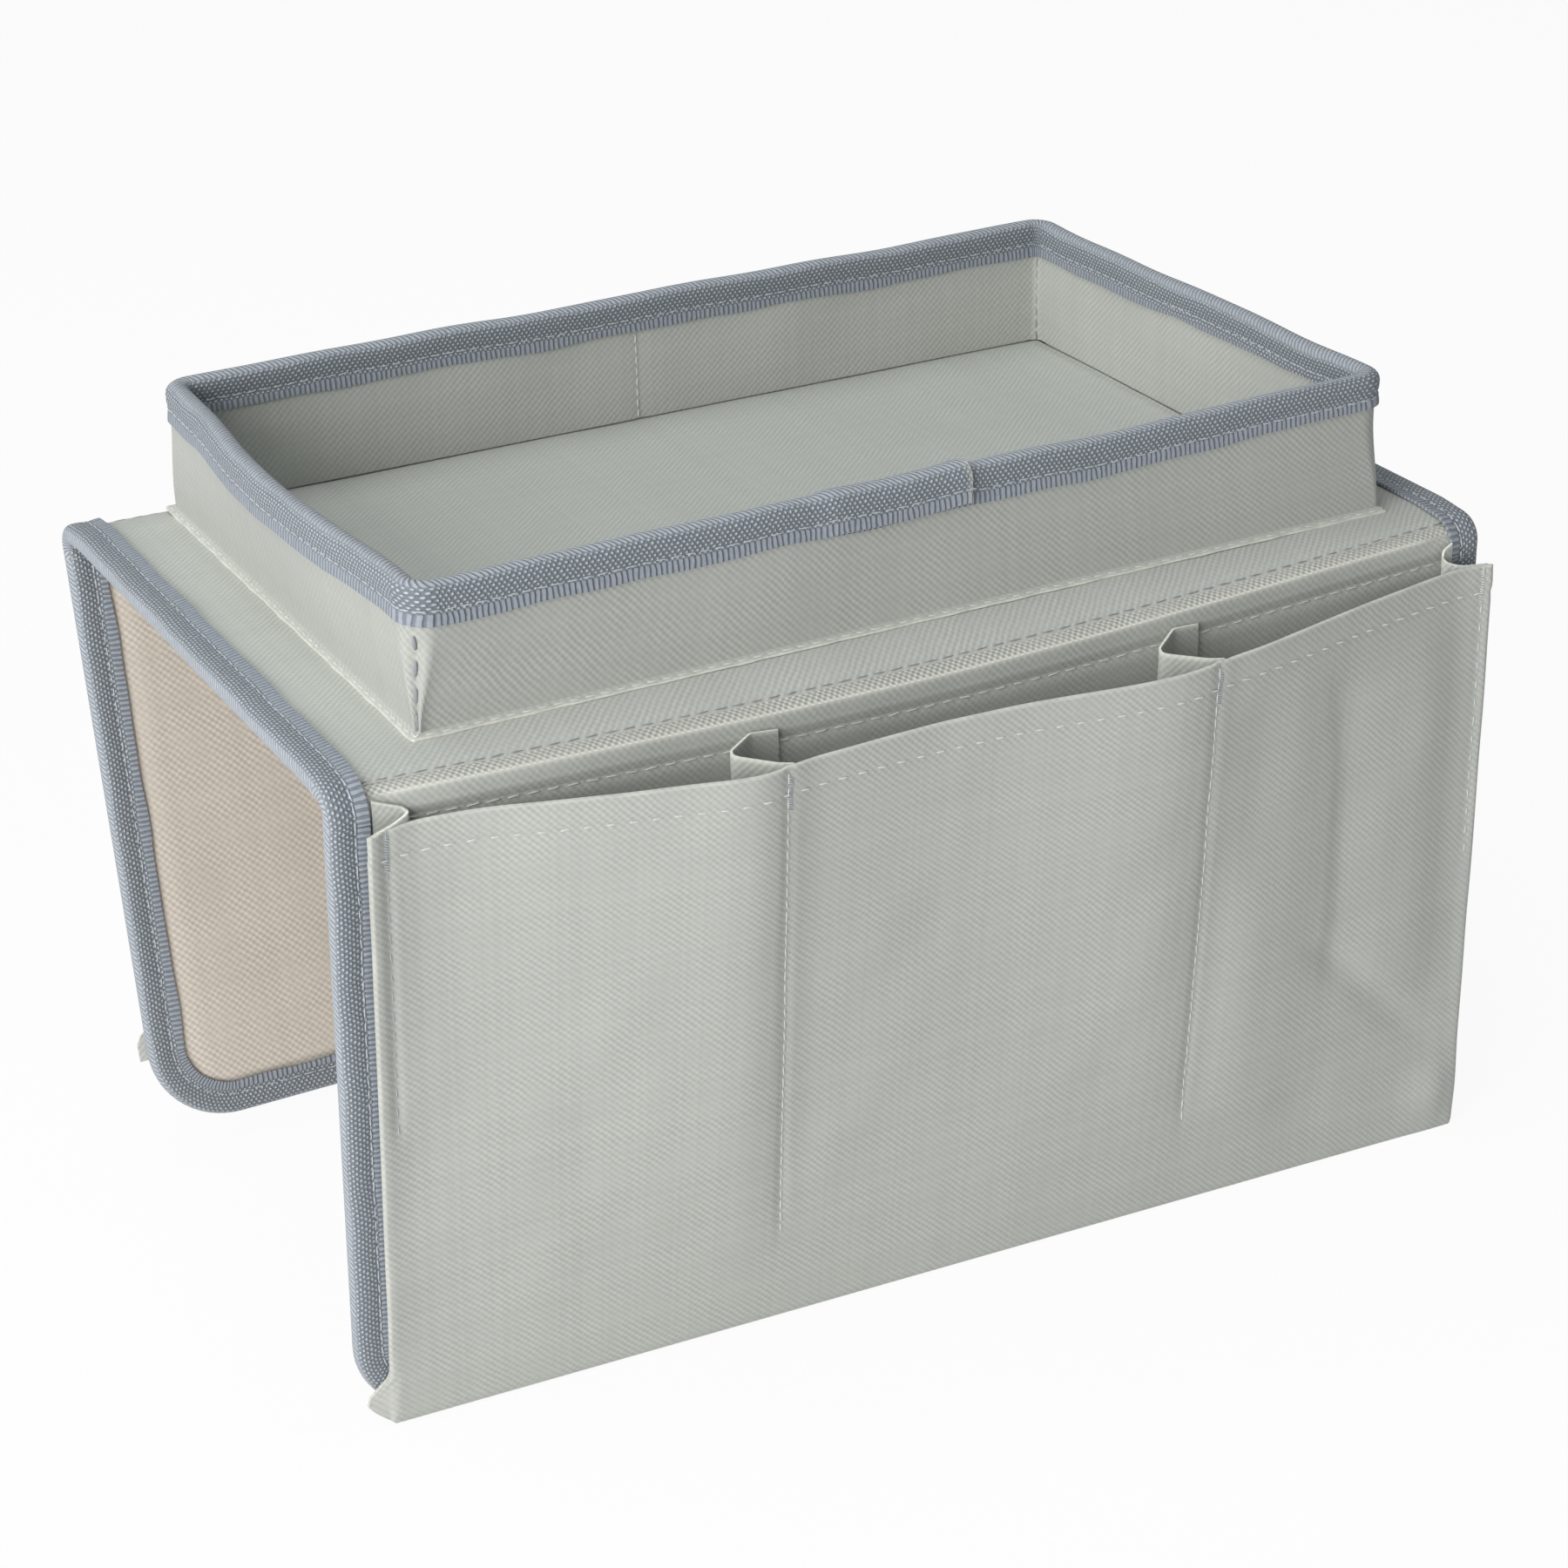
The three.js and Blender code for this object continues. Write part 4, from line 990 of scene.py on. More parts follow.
def divider_x(number, v):
    """Place of a divider's seam at a depth."""
    top, low = DIVIDERS[number]
    return (top + (low - top) * np.clip(v / (140 * MM), 0.0, 1.0)) * MM


def end_seams(side):
    """Places of the two end seams along a pocket panel."""
    left, right = POCKET_ENDS[side]
    return left + 4.8 * MM, right - 2.8 * MM


def pocket_out(side, x, v):
    """How far a pocket panel's face stands out from the flap's hinge plane."""
    low, top = POCKET_LOW[side], mouth_v(x)
    left, right = POCKET_ENDS[side]
    share = np.clip((low - v) / (low - top), 0.0, 1.02)
    out = POCKET_SEAT + soft_line(MOUTH_OUT, x, 4.5 * MM) * share * (1.0 + 0.35 * (1.0 - share))
    held = 1.0 - ease(DIVIDER_LOW[side] - 12 * MM, DIVIDER_LOW[side] + 10 * MM, v)
    for number in range(len(DIVIDERS)):
        seam = divider_x(number, v)
        out = out - held * (0.55 * MM * hump(x, seam, 1.6 * MM) + 0.8 * MM * hump(x, seam + 4 * MM, 8 * MM))
    held = 1.0 - ease(END_SEAM_LOW[side] - 6 * MM, END_SEAM_LOW[side] + 6 * MM, v)
    for seam, depth in zip(end_seams(side), (0.7 * MM, 0.3 * MM)):
        out = out - depth * hump(x, seam, 1.5 * MM) * held
    hem = top + POCKET_HEM
    out = out - 0.3 * MM * hump(v, hem, SEAM_WIDTH) + 0.25 * MM * hump(v, hem - 3.2 * MM, 2.4 * MM)
    if side == "front":
        out = out + pocket_creases(x / MM, v / MM) * MM
    ripple = 0.5 * MM * wander(x + 0.25 * v, 11, 58 * MM) * wander(v + 0.1 * x, 12, 90 * MM)
    rolled = 0.45 * MM * ease(1.2 * MM, 0.0, np.minimum(x - left, right - x)) ** 2
    tucked = 0.3 * MM * ease(2.6 * MM, 0.0, low - v) ** 2
    return out + ripple * ease(0.0, 30 * MM, low - v) - rolled - tucked


def pocket_creases(x, v):
    """The crease down the third front pocket, the swells beside it and the dents at its foot, all in millimetres."""
    def between(start, full, easing, end):
        return ease(start, full, v) * (1.0 - ease(easing, end, v))

    line = np.interp(v, (20, 50, 105), (105.5, 109.5, 111))
    dip = 0.95 * ease(-3.4, 0.2, x - line) * (1.0 - ease(0.2, 16, x - line))
    crease = (dip + 0.3 * hump(x, line - 3, 6)) * between(10, 32, 96, 116)
    right_swell = 1.6 * ease(110, 136, x) * (1.0 - ease(134, 153, x)) * between(4, 34, 100, 136)
    left_swell = 1.4 * hump(x, 86, 26) * ease(65, 84, x) * between(58, 90, 118, 160)
    left_dent = 1.1 * hump(x, 81, 9) * between(4, 24, 48, 78)
    slanting_dent = 1.1 * hump(x - (v - 107) * 0.95, 113, 5.5) * between(90, 106, 126, 146)
    foot_dent = 0.8 * hump(x, 106, 10) * hump(v, 147, 13)
    corner_swell = 2.0 * hump(x, 148, 7) * hump(v, 156, 9)
    return right_swell + left_swell + corner_swell - crease - left_dent - slanting_dent - foot_dent


class ORGANIZER_OT_pockets(bpy.types.Operator):
    """Make each pocket panel with its turned hem, dividers and pleated gussets."""

    bl_idname = "organizer.pockets"
    bl_label = "Pockets"

    def execute(self, context):
        for side in SIDES:
            self.panel(side)
            self.seams(side)
            for number, word in enumerate(("one", "two")):
                self.divider_gusset(side, number, word)
            for place, (word, way) in enumerate(ENDS):
                self.end_gusset(side, word, POCKET_ENDS[side][place], -way)
        return {"FINISHED"}

    def panel(self, side):
        """One pocket panel."""
        low = POCKET_LOW[side]
        left, right = POCKET_ENDS[side]
        fine = [((pair[0] + pair[1]) / 2 * MM, 12 * MM, 0.7 * MM) for pair in DIVIDERS]
        fine += [(seam, 4 * MM, 0.6 * MM) for seam in end_seams(side)]
        fine += [(end, 1.5 * MM, 0.3 * MM) for end in (left, right)]
        x = steps(left, right, 2.2 * MM, *fine)[None]
        fine = ((0.0, 1.2 * MM, 0.4 * MM), (POCKET_HEM, 3.5 * MM, 0.6 * MM), (low, 4 * MM, 0.5 * MM))
        rows = steps(0.0, low, 2.4 * MM, *fine)[:, None]
        v = mouth_v(x) + (low - mouth_v(x)) * (rows / low)
        if side == "front":
            ear = np.interp(low - v, np.array(EAR[0]) * MM, np.array(EAR[1]) * MM)
            x = x - ear * ease(10 * MM, 0.0, x - left)
        else:
            x = x + 4.6 * MM * ease(9 * MM, 6 * MM, low - v) * ease(10 * MM, 0.0, right - x)
        points = on_flap(side, x, v, pocket_out(side, x, v))
        rubbed = 0.5 * ease(0.9 * MM, 0.0, rows) * (0.8 + 0.4 * wander(x, 21, 16 * MM))
        ends = 0.25 * ease(2.8 * MM, 0.8 * MM, x - left) + 0.25 * ease(1.2 * MM, 0.2 * MM, right - x)
        worn = np.clip(np.maximum(rubbed, ends * (0.8 + 0.4 * wander(v, 22, 30 * MM))), 0.0, 1.0)
        chart = together(x, -v)
        panel = cloth_piece(f"{side}_pocket_cloth", points, chart, sizes().pocket, flap_out(side), "sage", worn)
        settle(
            panel, f"{side}_pocket", "sage_cloth", f"{side}_pocket_panel",
            held="hung", rests_on=[f"{side}_flap_cloth"])

    def seams(self, side):
        """The rows of stitches on one panel: its hem, the dividers and the ends, with a bar tack on each of these."""
        left, right = POCKET_ENDS[side]
        places = steps(left + 4 * MM, right - 4 * MM, GRID)
        self.seam(side, places, mouth_v(places) + POCKET_HEM, **HEM_STITCH)
        for number in range(len(DIVIDERS)):
            top = float(mouth_v(divider_x(number, 0.0))) + 3.0 * MM
            depth, tack = steps(top, DIVIDER_LOW[side], GRID), steps(top, top + TACK, 1 * MM)
            self.seam(side, divider_x(number, depth), depth, **DIVIDER_STITCH)
            self.seam(side, divider_x(number, tack) + 0.5 * MM, tack, **DIVIDER_TACK)
        for place, finish in zip(end_seams(side), ("thread_soft", "thread")):
            top = float(mouth_v(place)) + 1.5 * MM
            depth, tack = steps(top, END_SEAM_LOW[side], GRID), steps(top, top + TACK, 1 * MM)
            self.seam(side, np.full_like(depth, place), depth, finish=finish, **END_STITCH)
            self.seam(side, np.full_like(tack, place), tack, finish=finish, **END_TACK)

    def seam(self, side, x, v, **facts):
        """Keeps a row of stitches on the panel's face."""
        points = on_flap(side, x, v, pocket_out(side, x, v) + 0.12 * MM)
        stitch_row(f"{side}_pocket", points, flap_out(side), **facts)

    def pleat_line(self, corners):
        """A line through a pleat's corners, from the panel to the flap, with its folds rounded."""
        run = run_along(corners[:, :2])
        fine = np.linspace(0.0, run[-1], 81)
        line = np.stack([np.interp(fine, run, corners[:, i]) for i in range(3)], -1)
        for _ in range(5):
            line[1:-1] = 0.25 * line[:-2] + 0.5 * line[1:-1] + 0.25 * line[2:]
        return line

    def gusset(self, side, word, corners, top, end, finish=None):
        """A pleated strip between the flap and the panel; the span it would bend over, that distance or up to the
        panel, is worked out but not used.

        At a depth, corners gives x, n and how far the strip's upper edge stands above the mouth, for each corner.
        """
        share = np.concatenate([[0.0, 0.003, 0.008], np.linspace(0.03, 1.0, 33)])
        depth = top + share * (end - top)
        lines = np.array([self.pleat_line(np.array(corners(v))) for v in depth])
        v = depth[:, None] - lines[..., 2] * (1.0 - share)[:, None]
        points = on_flap(side, lines[..., 0], v, lines[..., 1])
        chart = together(run_along(lines[..., :2]), -v)
        rubbed = np.interp(share, (0.0, 0.008), (0.8, 0.0))[:, None]
        facing = to_side(side, -1.0, 0.0, 0.0)
        strip = cloth_piece(f"{side}_pleat_{word}", points, chart, sizes().lining, facing, "sage", rubbed)
        flap_edge, panel_edge = points[:, -1], points[:, 0]
        down = flap_edge[-1] - flap_edge[0]
        way = unit(flap_out(side) - down * (flap_out(side) @ down) / (down @ down))
        first = (flap_edge @ way).max() + 0.2 * MM
        last = first + finish if finish else (panel_edge @ way).min() - 0.1 * MM
        bodies = (f"{side}_flap", f"{side}_pocket", tuple(first * way), tuple(last * way))
        settle(strip, bodies, "sage_cloth", f"{side}_gusset_{word}", held="folded", rests_on=[f"{side}_flap_cloth"])

    def divider_gusset(self, side, number, word):
        """The pleat behind one divider."""
        flap = PLEAT_SEAT

        def corners(depth):
            seam = float(divider_x(number, depth))
            panel = float(pocket_out(side, seam, depth)) - PLEAT_BACK
            share = np.clip((panel - flap) / (15 * MM), 0.12, 1.0)
            tip = seam - 10.9 * MM * (0.35 + 0.65 * share)
            middle = flap + 0.47 * (panel - flap)
            half = 1.3 * MM * share
            return (
                (seam + 2.2 * MM, panel + 0.2 * MM, 0.2 * MM),
                (seam - 1.5 * MM, panel - 0.9 * MM * share, 0.6 * MM),
                (tip + 1.2 * MM, middle + half + 0.8 * MM * share, 1.7 * MM),
                (tip, middle + half * 0.5, 1.9 * MM),
                (tip + 0.5 * MM, middle - half, 2.2 * MM),
                (seam - 2.2 * MM, flap + 0.2 * MM, 2.9 * MM),
                (seam + 5.2 * MM, flap, 2.2 * MM))

        top = float(mouth_v(divider_x(number, 0.0))) + 0.3 * MM
        self.gusset(side, word, corners, top, DIVIDER_LOW[side], finish=6 * MM)

    def end_gusset(self, side, word, end, way):
        """The pleat at one end: a shallow bulge at the front's right end, else a fold that reaches inwards."""
        flap = PLEAT_SEAT
        fixed = -way * (HALF_LENGTH - 9.2 * MM)
        bulges = (side, word) == ("front", "right")
        reach = 3.4 if bulges else 8.6

        def corners(depth):
            panel = float(pocket_out(side, end + way * MM, depth)) - PLEAT_BACK
            share = np.clip((panel - flap) / (4 * MM), 0.25, 1.0)
            tip = fixed + way * (0.5 + (reach - 0.5) * share) * MM
            sewn = (end + way * 0.6 * MM, panel, 0.1 * MM)
            if bulges:
                bulge = ((6.0, 0.97, 1.2), (3.4, 0.9, 1.9), (0.9, 0.66, 2.9), (0.0, 0.36, 4.1), (1.1, 0.13, 5.2))
                bulge = [(tip - way * back * MM, flap + part * (panel - flap), rise * MM) for back, part, rise in bulge]
                return (sewn, *bulge, (fixed - way * 0.7 * MM, flap + 0.1 * MM, 6.4 * MM))
            middle = flap + 0.25 * (panel - flap)
            return (
                sewn,
                (tip - way * 4 * MM, middle + 0.45 * (panel - middle), 1.6 * MM),
                (tip - way * 0.8 * MM, middle + 0.3 * MM, 2.8 * MM),
                (tip, middle, 3.2 * MM),
                (tip - way * 0.6 * MM, middle - 0.5 * MM * share, 4.2 * MM),
                (fixed, flap, 6.8 * MM))

        self.gusset(side, word, corners, float(mouth_v(end)) + 0.2 * MM, END_SEAM_LOW[side])


TRAY_ROUND = 6.5 * MM  # radius of the tray's corners at the rim
TRAY_FOOT_ROUND = 1.2 * MM  # and at its foot
WALL_GRID = 2.2 * MM
CORNER_SEAM = {"pitch": 1.05, "length": 1.15, "width": 2.2, "finish": "thread_dark"}
INNER_CORNER_SEAM = {"pitch": 0.75, "length": 0.95, "width": 0.8, "finish": "thread_dark"}
FOOT_STITCH = {"pitch": 0.85, "length": 0.8, "width": 0.8}


def tray_line(inset, start=None, radius=TRAY_ROUND):
    """The run round the tray at an inset from its outer face: points, ways out, distance along it.

    It starts at the front left corner, or at start, which gives a wall's way along y and a place along it.
    """
    whole = np.array([RIM_HIGH.x - RIM_LOW.x, RIM_HIGH.y - RIM_LOW.y])
    half = whole / 2 - sizes().tape_reach - inset
    radius = max(radius - inset, 0.8 * MM)
    arcs = []
    for sx, sy, first in ((1, -1, -90), (1, 1, 0), (-1, 1, 90), (-1, -1, 180)):
        turn = np.radians(first + np.linspace(0.0, 90.0, 17))
        way = together(np.cos(turn), np.sin(turn))
        arcs.append((np.array([sx, sy]) * (half - radius) + radius * way, way))
    points, ways = [], []
    for number, (arc, way) in enumerate(arcs):
        count = int(whole[(number + 1) % 2] / (2.5 * MM))
        straight = np.linspace(arc[-1], arcs[(number + 1) % 4][0][0], count)[1:-1]
        points += [arc, straight]
        ways += [way, np.broadcast_to(way[-1], straight.shape)]
    points, ways = np.concatenate(points), np.concatenate(ways)
    if start is None:
        first = int(np.argmin(np.linalg.norm(ways + math.sqrt(0.5), axis=1)))
    else:
        wall, place = start
        off = np.abs(points[:, 0] + TRAY_CENTRE[0] - place) + np.linalg.norm(ways - (0.0, wall), axis=1)
        first = int(np.argmin(off))
        points[first, 0] = place - TRAY_CENTRE[0]
    points, ways = np.roll(points, -first, 0), np.roll(ways, -first, 0)
    points, ways = np.vstack([points, points[:1]]), np.vstack([ways, ways[:1]])
    return points + np.array(TRAY_CENTRE), ways, run_along(points)


def tray_bow(line, way, rise):
    """How far the left wall bulges out at places of its run, the more the higher up."""
    half = (RIM_HIGH.y - RIM_LOW.y) / 2
    middle = np.cos(np.clip((line[:, 1] - TRAY_CENTRE[1]) / half, -1.0, 1.0) * math.pi / 2) ** 2
    return 4.2 * MM * middle * np.clip(-way[:, 0], 0.0, 1.0) ** 6 * rise**1.3


def at_height(plan, z):
    """Places in plan, or ways, with their z."""
    return together(plan[..., 0], plan[..., 1], z)


class ORGANIZER_OT_tray(bpy.types.Operator):
    """Make the tray's outer band with its sewn foot, its inner band, its floor and its left board."""

    bl_idname = "organizer.tray"
    bl_label = "Tray"

    def execute(self, context):
        groove, way = self.outside()
        self.foot_seam()
        line = self.inside()
        self.floor(line)
        self.left_board()
        stitch_row("saddle", groove, way, **CORNER_SEAM)
        return {"FINISHED"}

    def outside(self):
        """Outer band, closed by a seam at the front left corner; gives the seam's places and its way out."""
        line, way, along = tray_line(0.0)
        foot = tray_line(0.0, radius=TRAY_FOOT_ROUND)[0]
        near = np.minimum(along, along[-1] - along)
        ridge = 0.45 * MM * hump(near, 3.0 * MM, 1.9 * MM) - 0.6 * MM * hump(near, 0.0, 1.3 * MM)
        z = steps(TOP_LEVEL, WALL_TOP, WALL_GRID, (TOP_LEVEL, 5 * MM, 0.7 * MM))[:, None]
        rise = (z - TOP_LEVEL) / (WALL_TOP - TOP_LEVEL)
        bow = 0.9 * MM * np.sin(math.pi * rise) * (0.5 + 0.5 * wander(along, 13, 120 * MM))
        out = ridge * (1.0 - ease(0.6, 0.74, rise)) + bow + tray_bow(line, way, rise)
        plan = foot + (line - foot) * ease(0.0, 0.75, rise)[..., None]
        points = at_height(plan + way * out[..., None], z)
        facing = at_height(way, 0.0)
        # The outer band takes the darker sage, a painted shade on the tray's walls.
        band = cloth_piece("tray_outer_cloth", points, together(along, z), sizes().cloth, facing, "sage_painted_shade")
        settle(band, "saddle", "sage_cloth", "tray_outer_band", rests_on=["tray_board_front", "tray_left_board"])
        groove = points[:, 0][(z[:, 0] > TOP_LEVEL + 3 * MM) & (rise[:, 0] < 0.72)]
        return groove + facing[0] * 0.3 * MM, facing[0]

    def foot_seam(self):
        """The turned-out raw edge of the outer band, sewn to the top."""
        out = np.array([-0.4, 0.5, 1.2, 1.8, 2.2]) * MM
        lift = TOP_LEVEL + np.array([1.3, 0.9, 0.65, 0.55, 0.5]) * MM
        fray = np.array([0.0, 0.1, 0.2, 0.4, 1.0])
        lines = [tray_line(-reach, radius=TRAY_FOOT_ROUND - reach) for reach in out]
        way, along = lines[0][1:]
        wave = 0.2 * MM * wander(along, 14, 18 * MM) * np.linspace(0, 1, len(out))[:, None]
        plan = np.stack([line[0] for line in lines]) + way * wave[..., None]
        plan[..., 0] = np.minimum(plan[..., 0], lines[0][0][:, 0].max() + 0.9 * MM)
        points = at_height(plan, lift[:, None])
        worn = np.clip(fray[:, None] * (0.85 + 0.4 * wander(along, 23, 9 * MM)), 0.0, 1.0)
        flange = cloth_piece("tray_foot_cloth", points, together(along, -out[:, None]), 0.5 * MM, UP, "sage", worn)
        settle(flange, "saddle", "sage_cloth", flat=False)
        stitch_row("saddle", points[2], at_height(way, 1.2), **FOOT_STITCH)

    def inside(self):
        """Inner band, closed by a seam in the rear wall; gives its run."""
        line, way, along = tray_line(3.8 * MM, (1.0, 5 * MM))
        near = np.minimum(along, along[-1] - along)
        z = steps(TRAY_FLOOR - 0.4 * MM, WALL_TOP, WALL_GRID)[:, None]
        rise = (z - z[0]) / (z[-1] - z[0])
        sag = 0.5 * MM * np.sin(math.pi * rise) * (wander(along, 15, 90 * MM) - 1.0)
        sag = sag + 0.3 * MM * hump(near, 0.0, 1.6 * MM) + tray_bow(line, way, rise)
        points = at_height(line + way * sag[..., None], z)
        facing = -at_height(way, 0.0)
        band = cloth_piece("tray_inner_cloth", points, together(along, z), sizes().cloth, facing, "sage")
        settle(band, "saddle", "sage_cloth", "tray_inner_band", rests_on=["tray_board_rear", "tray_board_right"])
        height = np.linspace(TRAY_FLOOR + 1 * MM, WALL_TOP - 6 * MM, 9)
        seam = together(line[0][0] - 0.8 * MM, line[0][1] - 0.15 * MM, height)
        stitch_row("saddle", seam, (0, -1, 0), pitch=0.6, length=0.75)
        height = np.linspace(TRAY_FLOOR + 1 * MM, WALL_TOP - 5 * MM, 9)
        seam = together(*(line[int(np.argmax(line.sum(1)))] - 0.3 * MM), height)
        stitch_row("saddle", seam, (-0.7, -0.7, 0), **INNER_CORNER_SEAM)
        return line

    def floor(self, line):
        """Floor panel, a little crowned inside the inner band's run."""
        half = (line.max(0) - line.min(0)) / 2 - 0.3 * MM
        x, y = np.meshgrid(*(
            steps(-reach, reach, GRID, (-reach, 6 * MM, 0.8 * MM), (reach, 6 * MM, 0.8 * MM)) for reach in half))
        edge = np.minimum(half[0] - np.abs(x), half[1] - np.abs(y))
        crown = 0.9 * MM * ease(0.0, 5 * MM, edge) + 0.3 * MM * wander(x, 16, 70 * MM) * wander(y, 17, 60 * MM)
        points = together(x + TRAY_CENTRE[0], y + TRAY_CENTRE[1], TRAY_FLOOR - 0.7 * MM + crown)
        panel = cloth_piece("tray_floor_cloth", points, together(x, y), sizes().cloth, UP, "sage_turned")
        settle(panel, "saddle", "sage_cloth", "tray_floor", held="laid", rests_on=["top_cover_cloth"])

    def left_board(self):
        """The left wall's board, bent to the bulge of its wall."""
        low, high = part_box("tray_board_left")
        y, z = np.meshgrid(np.linspace(low.y, high.y, 50), np.linspace(low.z, high.z, 14))
        place = together(low.x, y.ravel())
        rise = np.clip((z.ravel() - TOP_LEVEL) / (WALL_TOP - TOP_LEVEL), 0.0, 1.0)
        bow = tray_bow(place, np.tile([-1.0, 0.0], (y.size, 1)), rise)
        points = together(low.x - bow.reshape(y.shape), y, z)
        board = cloth_piece("tray_left_board", points, together(y, z), high.x - low.x, (-1, 0, 0), "board")
        settle(board, "saddle", "board", "tray_board_left", flat=False)


class ORGANIZER_OT_rim(bpy.types.Operator):
    """Make the tape over the tray's rim, with its two ends lapped on the front wall."""

    bl_idname = "organizer.rim"
    bl_label = "Rim tape"

    def execute(self, context):
        size = sizes()
        start, lap = -22 * MM, 37 * MM
        line, way, along = tray_line(1.9 * MM, (-1.0, start))
        total = along[-1]
        tail = lap - np.array([3.0, 2.0, 1.2, 0.6, 0.0]) * MM
        again = along[1:] < lap - 4 * MM
        line = np.vstack([line, line[1:][again], line[0] + tail[:, None] * [1.0, 0.0]])
        way = np.vstack([way, way[1:][again], np.repeat(way[:1], len(tail), 0)])
        along = np.concatenate([along, total + along[1:][again], total + tail])
        line = line + way * tray_bow(line, way, 1.0)[:, None]
        lift = 0.9 * MM * ease(total - 5 * MM, total + 2 * MM, along)
        lift = lift + 0.5 * MM * hump(along, total + lap - 2 * MM, 4 * MM)
        half = size.tape_half + lift
        raised = 1.2 * MM * ease(20 * MM, 150 * MM, line[:, 0]) * ease(76 * MM, -70 * MM, line[:, 1])
        inside = ease(0, 20 * MM, along) * ease(0, 20 * MM, total + lap - along)
        height = RIM_HIGH.z - size.tape_reach + lift + raised + 0.45 * MM * wander(along, 18, 95 * MM) * inside
        edge = at_height(line, height)
        inward = np.broadcast_to([0.0, 0.0, -1.0], edge.shape)
        normal = at_height(way, 0.0)
        leg = size.tape_leg + 0.4 * MM * wander(along, 19, 52 * MM) - raised
        worn = 0.45 * hump(along, total + lap, 1.2 * MM)
        tape = tape_piece("tray_rim_tape", edge, inward, normal, along, half, leg, worn)
        settle(
            tape, "saddle", "binding_tape", "tray_rim_binding",
            held="folded", rests_on=["tray_outer_cloth", "tray_inner_cloth"])
        sewn = along > lap
        tape_stitches("saddle", edge[sewn], inward[sewn], normal[sewn], half[sewn, None])
        return {"FINISHED"}


def stitch_tree():
    """Geometry node tree that lays stitches along rows: each row carries its pitch, length, turn and width."""
    tree, sheet, given = start_group(
        "Stitches", "GeometryNodeTree",
        {"Geometry": "Geometry", "Pitch": "Float", "Length": "Float", "Thread": "Float", "Seed": "Int",
         "Finish": "Material"},
        {"Geometry": "Geometry"})
    calc, result = sheet.math, sheet.result

    def kept(name, kind="FLOAT"):
        return result("GeometryNodeInputNamedAttribute", {"data_type": kind}, _0=name)

    def chance(seed, low, high):
        return sheet.add("FunctionNodeRandomValue", {"data_type": "FLOAT"}, Seed=seed, _2=low, _3=high).outputs[1]

    line = result("GeometryNodeMeshToCurve", Mesh=given["Geometry"])
    pitch = calc("MULTIPLY", given["Pitch"], kept("pitch"))
    row = result("GeometryNodeResampleCurve", {"mode": "LENGTH"}, Curve=line, Length=pitch)
    facing = result(
        "FunctionNodeAxesToRotation", {"primary_axis": "Z", "secondary_axis": "X"},
        _0=kept("facing", "FLOAT_VECTOR"), _1=result("GeometryNodeInputTangent"))
    slant = calc("ADD", kept("turn"), chance(given["Seed"], -0.10, 0.10))
    local = result("FunctionNodeAxisAngleToRotation", Axis=(0, 0, 1), Angle=slant)
    turned = result("FunctionNodeRotateRotation", {"rotation_space": "LOCAL"}, _0=facing, _1=local)
    vary = chance(calc("ADD", given["Seed"], 7.0), 0.86, 1.1)
    long = calc("MULTIPLY", calc("MULTIPLY", given["Length"], kept("length")), vary)
    thick = calc("MULTIPLY", given["Thread"], kept("width"))
    scale = result("ShaderNodeCombineXYZ", X=long, Y=thick, Z=calc("MULTIPLY", thick, 0.9))
    bead = result("GeometryNodeMeshUVSphere", Segments=8, Rings=5, Radius=0.5)
    laid = result("GeometryNodeInstanceOnPoints", Points=row, Instance=bead, Rotation=turned, Scale=scale)
    smooth = result("GeometryNodeSetShadeSmooth", Geometry=result("GeometryNodeRealizeInstances", Geometry=laid))
    done = result("GeometryNodeSetMaterial", Geometry=smooth, Material=given["Finish"])
    sheet.add("NodeGroupOutput", Geometry=done)
    return tree


class ORGANIZER_OT_stitches(bpy.types.Operator):
    """Sew the rows of stitches, one mesh for each thread of each body."""

    bl_idname = "organizer.stitches"
    bl_label = "Stitches"

    def execute(self, context):
        tree = stitch_tree()
        for number, ((body, finish), rows) in enumerate(sorted(STITCHES.items())):
            piece = self.sew(tree, f"{body}_{finish}", rows, number + 1, FINISHES[finish])
            if body.endswith("_fold"):
                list(fold_bodies(body.split("_")[0]))
                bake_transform(piece)
            else:
                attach(piece, body)
        return {"FINISHED"}

    def sew(self, tree, name, rows, seed, finish):
        """Lays stitches along the rows and gives one plain mesh."""
        size = sizes()
        points, edges, values = [], [], {"facing": [], "pitch": [], "length": [], "turn": [], "width": []}
        for places, normals, *facts in rows:
            first = len(points)
            points += [tuple(p) for p in places]
            edges += [(first + i, first + i + 1) for i in range(len(places) - 1)]
            values["facing"] += [tuple(n) for n in normals]
            for key, value in zip(("pitch", "length", "turn", "width"), facts):
                values[key] += [value] * len(places)
        mesh = bpy.data.meshes.new(name + "_rows")
        mesh.from_pydata(points, edges, [])
        for key, items in values.items():
            vector = key == "facing"
            kept = mesh.attributes.new(key, "FLOAT_VECTOR" if vector else "FLOAT", "POINT")
            kept.data.foreach_set("vector" if vector else "value", np.array(items, np.float32).ravel())
        guide = link_object(name + "_rows", mesh)
        maker = guide.modifiers.new("Stitches", "NODES")
        maker.node_group = tree
        given = {item.name: item.identifier for item in tree.interface.items_tree if item.in_out == "INPUT"}
        settings = {"Pitch": size.stitch_pitch, "Length": size.stitch_length, "Thread": size.thread}
        for key, value in {**settings, "Seed": seed, "Finish": finish}.items():
            maker[given[key]] = value
        seen = guide.evaluated_get(bpy.context.evaluated_depsgraph_get())
        sewn = bpy.data.meshes.new_from_object(seen)
        sewn.name = name
        bpy.data.objects.remove(guide)
        if not sewn.polygons:
            raise RuntimeError(f"{name} has no stitches")
        return link_object(name, sewn)


